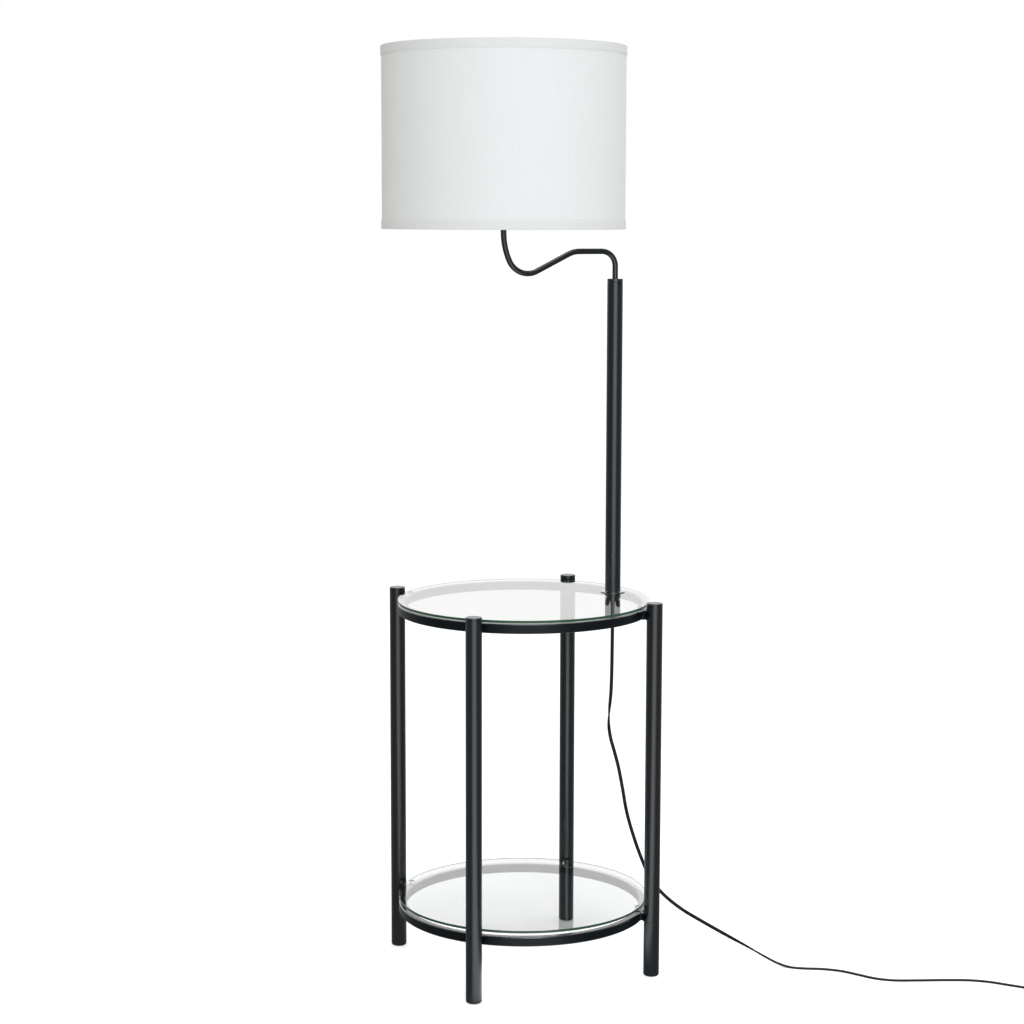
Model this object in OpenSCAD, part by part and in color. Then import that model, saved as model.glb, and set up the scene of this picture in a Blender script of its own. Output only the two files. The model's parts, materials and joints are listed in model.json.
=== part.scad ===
// Floor lamp with a round two-tier glass table.
// Four tube legs carry two welded rings. Each ring carries a round glass on clear pads.
// A pole is clamped through the upper glass by a threaded nipple and a wing nut, and its top
// holds a swivel in which an S-bent arm turns. The arm carries the socket and a drum shade.
// Millimetres, +Z up. The origin is on the floor, on the axis of the two glass discs.

/* [Legs] */
// Outer diameter of the leg tubes
leg_d = 25.4; // [20:0.1:32]
// Wall of the leg tubes
leg_wall = 1.2; // [0.8:0.1:2]
// Gap between the glass's edge and the leg tubes
leg_gap = 5.3; // [3:0.1:25]
// Bearing of the first leg, counter-clockwise from +X
leg_bearing = 70; // [0:1:89]
// Height of the screwed-on foot section, from the floor to its seam
foot_h = 90; // [70:1:140]
// Length of the long middle tubes
leg_tube_h = 490; // [400:1:600]
// Length of the short stubs above the upper seam
stub_h = 24.5; // [22:0.5:40]
// Height of the leg caps that shows above the stubs
cap_h = 4.5; // [3:0.1:8]
// Depth of the cap's and the foot pad's spigots inside the tubes
spigot_h = 9; // [6:0.5:10]
// Height of the plastic foot pads
foot_pad_h = 5; // [4:0.1:8]
// Rounding of the foot pads' lower edge
foot_pad_round = 4; // [1:0.1:4]

/* [Leg joints] */
// Diameter of the joining studs
stud_d = 8; // [6:0.5:10]
// Length of a stud that stands out of its plug
stud_reach = 11; // [8:0.5:14]
// Height of the threaded plugs in the tube ends
plug_h = 12; // [8:0.5:14]

/* [Rings] */
// Radial width of the ring tube
ring_w = 12; // [9:0.1:16]
// Height of the ring tube
ring_h = 15.5; // [12:0.1:20]
// Corner rounding of the ring tube
ring_corner = 2.5; // [1:0.1:4]
// Wall of the ring tube
ring_wall = 1.5; // [1:0.1:2]
// How far the glass edge overhangs the ring
ring_inset = 0.2; // [0:0.1:4]
// Upper ring's underside above the upper leg seam
top_ring_lift = 1.7; // [1:0.1:3]
// Lower ring's underside below the lower leg seam
shelf_ring_drop = 2.4; // [1:0.1:2.4]
// How far the weld tabs' top lies below the ring's top
tab_drop = 1; // [0.5:0.1:4]
// How far the weld tabs stay above the ring's underside and above the leg's seam
tab_rise = 0.3; // [0.1:0.1:2]
// Width of the weld tabs along the ring
tab_w = 9; // [5:0.5:14]

/* [Glass] */
// Diameter of both glass discs
glass_d = 406; // [380:1:410]
// Thickness of both glass discs
glass_t = 4; // [3:0.1:6]
// Ground bevel on the glass edges
glass_bevel = 0.4; // [0.2:0.1:1]
// Diameter of the clear pads under the glass
pad_d = 9; // [6:0.5:10]
// Height of the pads under the upper glass
top_pad_h = 1.6; // [1.2:0.1:5]
// Height of the pads under the shelf glass
shelf_pad_h = 6.4; // [2:0.1:9]

/* [Pole and base] */
// Outer diameter of the lamp pole
pole_d = 25.4; // [22:0.1:32]
// Wall of the lamp pole
pole_wall = 1.2; // [0.8:0.1:2]
// Length of the lamp pole
pole_h = 498; // [400:1:700]
// Distance of the pole's axis from the glass's edge
pole_edge = 41; // [38:1:70]
// Bearing of the pole, midway between two legs
pole_bearing = 25; // [15:1:35]
// Diameter of the base flange on the glass
flange_d = 40; // [34:0.5:46]
// Thickness of the base flange
flange_t = 1.6; // [1:0.1:3]
// Thickness of the clear gaskets above and below the glass
gasket_t = 0.8; // [0.5:0.1:2]
// Diameter of the gaskets
gasket_d = 36; // [28:0.5:38]
// Diameter of the washer under the glass
washer_d = 26; // [22:0.5:34]
// Thickness of the washer under the glass
washer_t = 1.5; // [1:0.1:2]
// Outer diameter of the threaded nipple
nipple_d = 10; // [9:0.1:12]
// Bore of the threaded nipple
nipple_bore = 7.2; // [6.8:0.1:7.6]
// Length of the nipple's end below the wing nut
nipple_end = 1.5; // [1:0.1:4]
// Length of the nipple above its plug in the pole
nipple_rise = 3; // [1:0.5:8]
// Height of the threaded plug in the foot of the pole
base_plug_h = 15; // [10:1:25]
// Largest diameter of the wing nut's hub
nut_hub_d = 17; // [15:0.5:20]
// Height of the wing nut's hub
nut_hub_h = 9; // [7:0.5:12]
// Half of the wing nut's span
nut_span_r = 15.4; // [12:0.1:18]
// Reach of the wings below the hub's top
nut_wing_h = 21.5; // [14:0.5:26]
// Thickness of the wings
nut_wing_t = 4; // [3:0.1:5]

/* [Swivel] */
// Height of the ferrule's lip on top of the pole
ferrule_h = 5.4; // [4.6:0.1:8]
// Depth of the ferrule's spigot inside the pole
ferrule_spigot_h = 14; // [10:0.5:25]
// Height of the turning cap above the ferrule
swivel_cap_h = 6.1; // [4:0.1:10]
// Size across the flats of the nut that holds the arm down
pivot_nut_af = 14; // [13:0.5:17]
// Height of the nut that holds the arm down
pivot_nut_h = 4.5; // [3:0.1:8]
// Diameter of the friction screw
friction_screw_d = 3.5; // [3:0.1:4]

/* [Arm] */
// Outer diameter of the arm tube
arm_d = 9.2; // [8.4:0.1:11]
// Wall of the arm tube
arm_wall = 1; // [0.6:0.1:1.2]
// Distance from the swivel's axis to the shade's axis
arm_reach = 198; // [180:1:260]
// Direction of the arm at rest, counter-clockwise from +X
arm_bearing = 205; // [0:1:359]
// Bend radius above the pole
arm_elbow_r = 24; // [18:1:35]
// Height of the arm's level run above the pole's top
arm_level_z = 55.8; // [50:0.1:90]
// Length of the level run
arm_level = 41; // [20:1:60]
// Bend radius where the arm starts to fall
arm_shoulder_r = 45; // [30:1:60]
// Slope of the falling run
arm_drop = 25.5; // [15:0.5:30]
// First and tighter bend radius under the shade
arm_swan_r = 36; // [25:1:45]
// Slope at which the tight bend changes to the wide one
arm_steep = 65; // [55:1:75]
// Second and wider bend radius under the shade
arm_neck_r = 105; // [60:1:130]
// Length of the arm's threaded end below its nut
arm_foot = 4; // [2:0.5:12]
// Straight end that goes up into the socket
arm_tail = 23; // [18:1:50]

/* [Socket] */
// Outer diameter of the socket's cup and lower shell
socket_d = 36; // [34:0.5:42]
// Height of the metal cup under the socket
cup_h = 20; // [16:1:26]
// Wall of the metal cup
cup_wall = 1; // [0.6:0.1:1.6]
// Depth of the arm's end inside the cup
cup_grip = 8; // [6:0.5:12]
// Height of the socket's shell
shell_h = 38; // [36:1:44]
// Bore of the socket's shell
shell_bore = 28.6; // [28.4:0.1:30]
// Height of the shade shoulder above the shell's lower edge
shoulder_h = 18; // [16:0.5:20]
// Diameter of the shade shoulder
shoulder_d = 44; // [42:0.5:50]
// Thickness of the shade shoulder
shoulder_t = 2; // [1.5:0.1:3]
// Height of the switch body in the socket
core_h = 13; // [11:0.5:14]
// Diameter of the switch knob
knob_d = 13; // [10:0.5:13]
// Length of the switch knob
knob_l = 12; // [8:0.5:18]
// Diameter of the switch stem
stem_d = 4; // [3:0.1:5]
// Direction of the switch knob, counter-clockwise from +X
knob_bearing = 295; // [286:1:304]

/* [Bulb] */
// Largest diameter of the bulb
bulb_d = 60; // [50:1:70]
// Length of the bulb with its base
bulb_h = 108; // [100:1:120]
// Diameter of the screw base of the bulb
bulb_base_d = 26.2; // [26:0.1:26.4]
// Height of the screw base of the bulb
bulb_base_h = 26; // [22:1:28]
// Wall of the bulb's globe and of its base
bulb_wall = 1; // [0.6:0.1:2]

/* [Shade] */
// Outer diameter of the drum shade's fabric
shade_d = 382.6; // [300:0.2:388]
// Height of the drum shade
shade_h = 282.3; // [200:0.1:400]
// Thickness of the laminated fabric
fabric_t = 1.2; // [0.8:0.1:2]
// Width of the hem tapes
hem_w = 15; // [10:0.5:25]
// Thickness of the hem tapes
hem_t = 1; // [0.5:0.1:1.5]
// Width of the hem tape inside the shade
hem_inside = 9; // [7:0.5:15]
// Diameter of the wire rings
wire_d = 3.2; // [3:0.1:4]
// Diameter of the spider's arms
spoke_d = 2.8; // [2.2:0.1:2.8]
// Recess of the spider's hub above the lower rim
spider_drop = 50; // [30:1:80]
// Outer diameter of the spider's hub
hub_d = 50; // [48:1:60]
// Thickness of the spider's hub
hub_t = 1.6; // [1.2:0.1:2.5]
// Outer diameter of the ring that clamps the hub on the socket
clamp_d = 47; // [44:0.5:60]
// Height of the clamp ring
clamp_h = 8; // [6:0.5:12]

/* [Cord] */
// Width of the flat two-core cord
cord_w = 5.8; // [5:0.1:6.4]
// Thickness of the flat two-core cord
cord_t = 3; // [2.4:0.1:3.4]
// Diameter of the wire pair inside the lamp
wire_pair_d = 5; // [4:0.1:5.2]
// Length of the tapered sleeve at the cord's exit
sleeve_l = 22; // [20:1:30]
// Width of the plug's body
plug_w = 25; // [22:0.5:28]
// Thickness of the plug's body
plug_t = 13; // [11:0.5:15]
// Length of the plug's body
plug_l = 30; // [26:1:38]

/* [Clearances] */
// Radial gap of a fixed plug in its tube
press_gap = 0.05; // [0.03:0.01:0.1]
// Radial running gap of a shaft in its bearing
run_gap = 0.06; // [0.03:0.01:0.1]
// Gap between faces that turn past each other
turn_gap = 0.3; // [0.2:0.05:0.5]
// Radial gap of the threaded nipple in the glass
glass_hole_gap = 1; // [0.5:0.1:2]

/* [Hidden] */

// Colours of the finishes
black_paint = [0.17, 0.18, 0.19];
black_plastic = [0.12, 0.12, 0.13];
clear_glass = [0.80, 0.90, 0.86, 0.4];
clear_rubber = [0.9, 0.92, 0.92, 0.6];
steel = [0.70, 0.71, 0.72];
brass = [0.80, 0.66, 0.38];
linen = [0.93, 0.93, 0.91];
tape = [0.96, 0.96, 0.94];

// Smoothness of round pieces
$fn = 72;
// How far a cutting tool stands past the face that it cuts
past = 1;

// Heights of the legs and rings
leg_bearings = [for (i = [0:3]) leg_bearing + 90 * i];
upper_seam_z = foot_h + leg_tube_h;
stub_top_z = upper_seam_z + stub_h;
top_ring_z = upper_seam_z + top_ring_lift;
shelf_ring_z = foot_h - shelf_ring_drop;
leg_bore_r = leg_d / 2 - leg_wall;
plug_r = leg_bore_r - press_gap;
stud_bore_r = stud_d / 2 + run_gap;

// The glass discs, and the ring that lies under each
glass_r = glass_d / 2;
ring_r = glass_r - ring_inset;
leg_circle_r = glass_r + leg_gap + leg_d / 2;
top_glass_z = top_ring_z + ring_h + top_pad_h;
shelf_glass_z = shelf_ring_z + ring_h + shelf_pad_h;
glass_top_z = top_glass_z + glass_t;

// The pole, its base and its swivel
pole_at = (glass_r - pole_edge) * [cos(pole_bearing), sin(pole_bearing)];
flange_z = glass_top_z + gasket_t;
pole_z = flange_z + flange_t;
pole_top_z = pole_z + pole_h;
pole_bore_r = pole_d / 2 - pole_wall;
under_gasket_z = top_glass_z - gasket_t;
under_washer_z = under_gasket_z - washer_t;
nut_z = under_washer_z - nut_hub_h;
nipple_r = nipple_d / 2;
nipple_hole_r = nipple_r + press_gap;
nipple_z = nut_z - nipple_end;
nipple_top_z = pole_z + base_plug_h + nipple_rise;
bushing_lip = 1.5;
sleeve_z = nipple_z - bushing_lip - sleeve_l;
ferrule_top_z = pole_top_z + ferrule_h;
swivel_cap_z = ferrule_top_z + turn_gap;
pivot_nut_z = pole_top_z - ferrule_spigot_h - turn_gap - pivot_nut_h;
arm_z = pivot_nut_z - arm_foot;

// The arm: a chain of straights [length, 0, 0] and bends [0, radius, turn], seen from its side
level_z = pole_top_z + arm_level_z;
arm_slope = (arm_reach - arm_elbow_r - arm_level - arm_shoulder_r * sin(arm_drop)
    - arm_swan_r * (sin(arm_drop) + sin(arm_steep)) - arm_neck_r * (1 - sin(arm_steep))) / cos(arm_drop);
arm_path = [
    [level_z - arm_elbow_r - arm_z, 0, 0],
    [0, arm_elbow_r, -90],
    [arm_level, 0, 0],
    [0, arm_shoulder_r, -arm_drop],
    [arm_slope, 0, 0],
    [0, arm_swan_r, arm_drop + arm_steep],
    [0, arm_neck_r, 90 - arm_steep],
    [arm_tail, 0, 0]];
bend_thin = 0.03;
bend_lap = 0.4;
arm_end_z = level_z - arm_shoulder_r * (1 - cos(arm_drop)) - arm_slope * sin(arm_drop)
    + arm_swan_r * (cos(arm_drop) - cos(arm_steep)) + arm_neck_r * cos(arm_steep) + arm_tail;
head_at = pole_at + arm_reach * [cos(arm_bearing), sin(arm_bearing)];

// The socket, the bulb and the shade, on the axis of the arm's end
cup_z = arm_end_z - cup_grip;
shell_z = cup_z + cup_h;
shoulder_z = shell_z + shoulder_h;
hub_z = shoulder_z + shoulder_t;
clamp_z = hub_z + hub_t;
shell_top_r = socket_d / 2;
thread_gap = 0.15;
hub_bore_r = shell_top_r + turn_gap;
core_z = shell_z;
core_r = shell_bore / 2 - press_gap;
knob_z = core_z + core_h / 2;
knob_at_r = socket_d / 2 + 2;
screw_shell_r = core_r;
screw_shell_wall = 0.7;
bulb_z = core_z + core_h + turn_gap;
shade_z = hub_z - spider_drop;
shade_top_z = shade_z + shade_h;
fabric_r = shade_d / 2;
fabric_bore_r = fabric_r - fabric_t;
hoop_r = fabric_bore_r - press_gap - wire_d / 2;
hem_inner_r = hoop_r - wire_d / 2 - press_gap;
spider_bearings = [for (i = [0:2]) arm_bearing + 30 + 120 * i];

// The cord's free run, chosen by eye: straight down out of the sleeve, a slack turn, then out
// to the side and along the floor. Each point is [x, y, z] of the cord's middle.
floor_gap = 0.05;
lie_z = cord_t / 2 + floor_gap;
run_points = [
    [pole_at[0], pole_at[1], sleeve_z], [pole_at[0], pole_at[1], sleeve_z - 16],
    [146.6, 68.5, 508], [146.2, 68.6, 470], [145.2, 69, 435], [142.8, 70, 405], [142, 70.2, 380],
    [145, 69, 358], [152, 66.5, 333], [158.5, 64, 308], [165, 61.5, 275], [172, 59, 236],
    [182, 55.5, 200], [195, 50.5, 163], [211, 44.5, 127], [232, 36.5, 101.5], [262, 26, 79],
    [298, 12.5, 60.5], [334, -1, 43.5], [370, -14.5, 27], [398, -25, 13.5], [419, -33, 5],
    [438, -40.5, lie_z], [460, -46, lie_z], [488, -48.5, lie_z], [517, -58, lie_z],
    [544, -77, lie_z], [568, -94, lie_z], [597, -102.5, lie_z], [634, -102, lie_z],
    [675, -100, lie_z], [715, -100.5, lie_z], [746, -108, lie_z], [774, -122, lie_z],
    [801, -136, lie_z], [818, -144.7, lie_z], [830, -150.8, lie_z]];
rings_per_leg = 2;
run_sides = 8;
// The cord faces the front as it hangs, turns over once at half height and lies down flat
twist_top_z = 440;
twist_low_z = 350;
lie_down_z = 60;

// The coil: loops that spiral in on the floor, climb a layer while they turn back, and spiral out
coil_start = run_points[len(run_points) - 1];
coil_heading = -27;
coil_r = 35;
coil_pitch = 7.4;
coil_climb = 4.2;
coil_in_turns = 1.5;
coil_back_turns = 0.5;
coil_out_turns = 1.25;
coil_rings = 24;
coil_sides = 6;
coil_tail = 36;
coil_turns = coil_in_turns + coil_back_turns + coil_out_turns;
coil_middle = coil_start + coil_r * [-sin(coil_heading), cos(coil_heading), 0];
coil_first = coil_heading - 90;
coil_end_heading = coil_first + 360 * coil_turns + 90;

// --- Small helpers ---

function polar(r, a) = [r * cos(a), r * sin(a)];
function unit(v) = v / norm(v);
function smooth(t) = let (u = max(0, min(1, t))) u * u * (3 - 2 * u);

// A tube standing on z
module tube(r, wall, h, z = 0) {
    translate([0, 0, z])
        difference() {
            cylinder(r = r, h = h);
            translate([0, 0, -past])
                cylinder(r = r - wall, h = h + 2 * past);
        }
}

// A disc with a hole, standing on z
module washer(r, hole_r, h, z = 0) {
    translate([0, 0, z])
        difference() {
            cylinder(r = r, h = h);
            translate([0, 0, -past])
                cylinder(r = hole_r, h = h + 2 * past);
        }
}

// A disc whose upper or lower rim is rounded, turned from a profile
module rounded_disc(r, h, round_r, top = true) {
    steps = 6;
    rim = [for (i = [0:steps]) let (a = 90 * i / steps)
        [r - round_r + round_r * cos(a), h - round_r + round_r * sin(a)]];
    upright = concat([[0, 0], [r, 0]], rim, [[0, h]]);
    if (top)
        rotate_extrude() polygon(upright);
    else
        translate([0, 0, h]) mirror([0, 0, 1]) rotate_extrude() polygon(upright);
}

// Its children on every leg's axis
module on_legs() {
    for (a = leg_bearings)
        translate(polar(leg_circle_r, a)) rotate(a) children();
}

// Its children on one leg's axis
module on_leg(i) {
    translate(polar(leg_circle_r, leg_bearings[i])) rotate(leg_bearings[i]) children();
}

// Its children on the pole's axis, and on the head's axis
module on_pole() {
    translate(pole_at) children();
}
module on_head() {
    translate(head_at) children();
}

// --- Legs ---

module leg_piece(i, z, h) {
    color(black_paint)
        on_leg(i) tube(leg_d / 2, leg_wall, h, z);
}
module leg_stub(i) {
    leg_piece(i, upper_seam_z, stub_h);
}
module leg_tube(i) {
    leg_piece(i, foot_h, leg_tube_h);
}
module foot_tube(i) {
    leg_piece(i, foot_pad_h, foot_h - foot_pad_h);
}

// Flat caps with a small rounded rim, on a spigot that fills the stub
module leg_caps() {
    color(black_paint)
        on_legs() {
            translate([0, 0, stub_top_z]) rounded_disc(leg_d / 2, cap_h, 0.8);
            translate([0, 0, stub_top_z - spigot_h]) cylinder(r = plug_r, h = spigot_h);
        }
}

// Plastic pads with a well rounded lower edge
module foot_pads() {
    color(black_plastic)
        on_legs() {
            rounded_disc(leg_d / 2, foot_pad_h, foot_pad_round, top = false);
            translate([0, 0, foot_pad_h]) cylinder(r = plug_r, h = spigot_h);
        }
}

// A threaded plug in a tube's end
module bored_plug(z) {
    washer(plug_r, stud_bore_r, plug_h, z);
}

// A plug whose stud stands out of the tube and screws into the next one
module stud_plug(z) {
    translate([0, 0, z]) {
        cylinder(r = plug_r, h = plug_h);
        cylinder(r = stud_d / 2, h = plug_h + stud_reach);
    }
}
module stub_plugs() {
    color(steel) on_legs() bored_plug(upper_seam_z);
}
module leg_top_plugs() {
    color(steel) on_legs() stud_plug(upper_seam_z - plug_h);
}
module leg_bottom_plugs() {
    color(steel) on_legs() bored_plug(foot_h);
}
module foot_top_plugs() {
    color(steel) on_legs() stud_plug(foot_h - plug_h);
}

// --- Rings ---

// A rounded rectangle beside the axis, from r inwards
module ring_section(r, w, h, corner) {
    translate([r - w, 0]) {
        translate([corner, 0]) square([w - 2 * corner, h]);
        translate([0, corner]) square([w, h - 2 * corner]);
        for (x = [corner, w - corner], y = [corner, h - corner])
            translate([x, y]) circle(r = corner, $fn = 32);
    }
}

// One hollow ring with four weld tabs that end on the legs, above the seam
module ring(z, seam_z) {
    tab_z = max(z, seam_z) + tab_rise;
    tab_h = z + ring_h - tab_drop - tab_z;
    tab_in = ring_wall / 2;
    color(black_paint) {
        translate([0, 0, z])
            rotate_extrude($fn = 144)
                difference() {
                    ring_section(ring_r, ring_w, ring_h, ring_corner);
                    translate([0, ring_wall])
                        ring_section(ring_r - ring_wall, ring_w - 2 * ring_wall, ring_h - 2 * ring_wall,
                            ring_corner - ring_wall / 2);
                }
        for (a = leg_bearings)
            rotate(a)
                difference() {
                    translate([ring_r - tab_in, -tab_w / 2, tab_z])
                        cube([leg_circle_r - ring_r + tab_in, tab_w, tab_h]);
                    translate([leg_circle_r, 0, tab_z - past])
                        cylinder(r = leg_d / 2 + press_gap, h = tab_h + 2 * past);
                }
    }
}
module top_ring() {
    ring(top_ring_z, upper_seam_z);
}
module shelf_ring() {
    ring(shelf_ring_z, foot_h);
}

// --- Glass ---

// A disc with a ground bevel on both edges
module glass_disc(z) {
    b = glass_bevel;
    translate([0, 0, z])
        rotate_extrude($fn = 144)
            polygon([[0, 0], [glass_r - b, 0], [glass_r, b], [glass_r, glass_t - b], [glass_r - b, glass_t],
                [0, glass_t]]);
}
module table_glass() {
    color(clear_glass)
        difference() {
            glass_disc(top_glass_z);
            on_pole() translate([0, 0, top_glass_z - past])
                cylinder(r = nipple_r + glass_hole_gap, h = glass_t + 2 * past);
        }
}
module shelf_glass() {
    color(clear_glass) glass_disc(shelf_glass_z);
}

// Clear pads on the ring's flat top, beside each leg
module glass_pads(z, h) {
    color(clear_rubber)
        for (a = leg_bearings)
            translate(concat(polar(ring_r - ring_w / 2, a), [z]))
                cylinder(r1 = pad_d / 2, r2 = pad_d / 2 - 0.4, h = h, $fn = 48);
}
module top_glass_pads() {
    glass_pads(top_ring_z + ring_h, top_pad_h);
}
module shelf_glass_pads() {
    glass_pads(shelf_ring_z + ring_h, shelf_pad_h);
}

// --- Pole base ---

module base_gasket() {
    color(clear_rubber) on_pole() washer(gasket_d / 2, nipple_hole_r, gasket_t, glass_top_z);
}
module under_gasket() {
    color(clear_rubber) on_pole() washer(washer_d / 2 - 1, nipple_hole_r, gasket_t, under_gasket_z);
}
module under_washer() {
    color(black_paint) on_pole() washer(washer_d / 2, nipple_hole_r, washer_t, under_washer_z);
}

// A pressed steel disc with a rounded upper rim
module base_flange() {
    color(black_paint)
        on_pole() translate([0, 0, flange_z])
            difference() {
                rounded_disc(flange_d / 2, flange_t, flange_t / 2);
                translate([0, 0, -past]) cylinder(r = nipple_hole_r, h = flange_t + 2 * past);
            }
}
module threaded_nipple() {
    color(steel) on_pole()
        tube(nipple_r, nipple_r - nipple_bore / 2, nipple_top_z - nipple_z, nipple_z);
}
module pole_base_plug() {
    color(steel) on_pole() washer(pole_bore_r - press_gap, nipple_hole_r, base_plug_h, pole_z);
}

// A tapered hub with two drooping wings, each a plate with a rounded lobe
module wing_nut() {
    hub_r = nut_hub_d / 2;
    lobe_r = 3.1;
    lobe_x = nut_span_r - lobe_r;
    wing_bearing = -40;
    color(black_paint)
        on_pole() translate([0, 0, nut_z + nut_hub_h])
            difference() {
                union() {
                    translate([0, 0, -nut_hub_h])
                        rotate_extrude()
                            polygon([[0, 0], [hub_r - 2.2, 0], [hub_r - 1.4, 0.8], [hub_r, nut_hub_h - 2],
                                [hub_r, nut_hub_h], [0, nut_hub_h]]);
                    for (side = [0, 180])
                        rotate([0, 0, wing_bearing + side]) rotate([90, 0, 0])
                            linear_extrude(nut_wing_t, center = true)
                                hull() {
                                    translate([hub_r - 3, -3.5]) circle(r = 2.5, $fn = 32);
                                    translate([lobe_x, -6]) circle(r = lobe_r, $fn = 32);
                                    translate([lobe_x, lobe_r - nut_wing_h]) circle(r = lobe_r, $fn = 32);
                                }
                }
                translate([0, 0, -nut_wing_h - past])
                    cylinder(r = nipple_hole_r, h = nut_wing_h + 2 * past);
            }
}

// A lip on the nipple's end, a spigot in its bore and a tapered sleeve down the cord
module cord_bushing() {
    bore_r = wire_pair_d / 2 + turn_gap;
    sleeve_r = cord_w / 2 + 0.9;
    color(black_plastic)
        on_pole() translate([0, 0, sleeve_z])
            difference() {
                rotate_extrude()
                    polygon([[bore_r, 0], [cord_w / 2 + 0.4, 0], [sleeve_r, sleeve_l], [nipple_r, sleeve_l],
                        [nipple_r, sleeve_l + bushing_lip], [nipple_bore / 2 - press_gap, sleeve_l + bushing_lip],
                        [nipple_bore / 2 - press_gap, sleeve_l + bushing_lip + 6],
                        [bore_r, sleeve_l + bushing_lip + 6]]);
                for (i = [0:3])
                    translate([0, 0, 3 + 4 * i])
                        rotate_extrude()
                            translate([sleeve_r - 0.15, 0]) square([1, 1.2]);
            }
}

// --- Pole and swivel ---

module pole() {
    color(black_paint) on_pole() tube(pole_d / 2, pole_wall, pole_h, pole_z);
}

// A lip as wide as the pole on a long spigot, with the arm's bearing through both
module pole_ferrule() {
    bearing_r = arm_d / 2 + run_gap;
    color(black_paint)
        on_pole() translate([0, 0, pole_top_z])
            difference() {
                union() {
                    translate([0, 0, -ferrule_spigot_h])
                        cylinder(r = pole_bore_r - press_gap, h = ferrule_spigot_h);
                    cylinder(r = pole_d / 2, h = ferrule_h);
                }
                translate([0, 0, -ferrule_spigot_h - past])
                    cylinder(r = bearing_r, h = ferrule_spigot_h + ferrule_h + 2 * past);
                rotate([0, 0, 300]) translate([0, 0, ferrule_h / 2]) rotate([0, 90, 0])
                    cylinder(r = friction_screw_d / 2 + press_gap, h = pole_d);
            }
}

// A grub screw that presses lightly on the arm's spindle
module friction_screw() {
    inner_r = arm_d / 2 + turn_gap;
    outer_r = pole_d / 2 - 0.6;
    color(steel)
        on_pole() translate([0, 0, pole_top_z + ferrule_h / 2]) rotate([0, 0, 300])
            translate([inner_r, 0, 0]) rotate([0, 90, 0])
                difference() {
                    cylinder(r = friction_screw_d / 2, h = outer_r - inner_r, $fn = 32);
                    translate([0, 0, outer_r - inner_r - 2]) cylinder(r = 0.9, h = 2 + past, $fn = 6);
                }
}

// The turning cap, fixed on the arm, with a small rounded rim
module swivel_cap() {
    color(black_paint)
        on_pole() translate([0, 0, swivel_cap_z])
            difference() {
                rounded_disc(pole_d / 2, swivel_cap_h, 0.8);
                translate([0, 0, -past]) cylinder(r = arm_d / 2 + press_gap, h = swivel_cap_h + 2 * past);
            }
}
module pivot_nut() {
    color(steel)
        on_pole() translate([0, 0, pivot_nut_z])
            difference() {
                cylinder(d = pivot_nut_af / cos(30), h = pivot_nut_h, $fn = 6);
                translate([0, 0, -past]) cylinder(r = arm_d / 2 + press_gap, h = pivot_nut_h + 2 * past);
            }
}

// --- Arm ---

// A straight bar along +X from x to the length l
module bar(x, l, d) {
    translate([x, 0, 0]) rotate([0, 90, 0]) cylinder(d = d, h = l, $fn = 48);
}

// A bend that starts at the origin along +X and turns towards +Z, drawn thinner by a hair than
// the straights, so that it ends inside them
module bend_up(r, turn, d) {
    rotate([0, 90, 0]) rotate([90, 0, 0]) translate([-r, 0, 0])
        rotate_extrude(angle = turn, $fn = 144)
            translate([r, 0]) circle(d = d - 2 * bend_thin, $fn = 48);
}

// A round bar along a chain of straights and bends, from piece i on
module bar_along(path, d, i = 0) {
    if (i < len(path)) {
        step = path[i];
        side = step[2] < 0 ? 1 : 0;
        before = i > 0 ? bend_lap : 0;
        after = i < len(path) - 1 ? bend_lap : 0;
        if (step[0] > 0) {
            bar(-before, before + step[0] + after, d);
            translate([step[0], 0, 0]) bar_along(path, d, i + 1);
        } else {
            if (i > 0 && path[i - 1][0] == 0)
                bar(-bend_lap, 2 * bend_lap, d);
            mirror([0, 0, side]) bend_up(step[1], abs(step[2]), d);
            rise = step[1] * (1 - cos(step[2])) * (step[2] < 0 ? -1 : 1);
            translate([step[1] * sin(abs(step[2])), 0, rise])
                rotate([0, -step[2], 0]) bar_along(path, d, i + 1);
        }
    }
}

// A bar on the arm's own path, started lower and ended higher by the given lengths
module arm_bar(d, below, above) {
    last = len(arm_path) - 1;
    longer = [for (i = [0:last])
        arm_path[i] + [(i == 0 ? below : 0) + (i == last ? above : 0), 0, 0]];
    translate([pole_at[0], pole_at[1], arm_z - below]) rotate([0, 0, arm_bearing])
        rotate([0, -90, 0]) bar_along(longer, d);
}
module arm() {
    color(black_paint)
        difference() {
            arm_bar(arm_d, 0, 0);
            arm_bar(arm_d - 2 * arm_wall, past, past);
        }
}

// The wire pair inside the arm, up to the socket
module arm_wire() {
    color(black_plastic) arm_bar(wire_pair_d, 0, cup_h - cup_grip - turn_gap);
}

// The wire pair inside the pole, up to the arm's open end
module pole_wire() {
    color(black_plastic) on_pole() translate([0, 0, sleeve_z])
        cylinder(d = wire_pair_d, h = arm_z - turn_gap - sleeve_z, $fn = 32);
}

// --- Socket ---

// A spun metal cup: a neck that grips the arm, a shoulder and a straight wall
module socket_cup() {
    outer_r = socket_d / 2;
    neck_r = arm_d / 2 + press_gap;
    neck_h = 5;
    color(black_paint)
        on_head() translate([0, 0, cup_z])
            rotate_extrude()
                polygon([[neck_r, 0], [neck_r + 2.2, 0], [neck_r + 2.2, neck_h - 1], [outer_r - 4, neck_h + 1],
                    [outer_r - 1.2, neck_h + 3], [outer_r, neck_h + 6], [outer_r, cup_h],
                    [outer_r - cup_wall, cup_h], [outer_r - cup_wall, neck_h + 6.4],
                    [outer_r - 2.2, neck_h + 4], [outer_r - 4.6, neck_h + 2], [neck_r, neck_h + 0.6]]);
}

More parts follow.
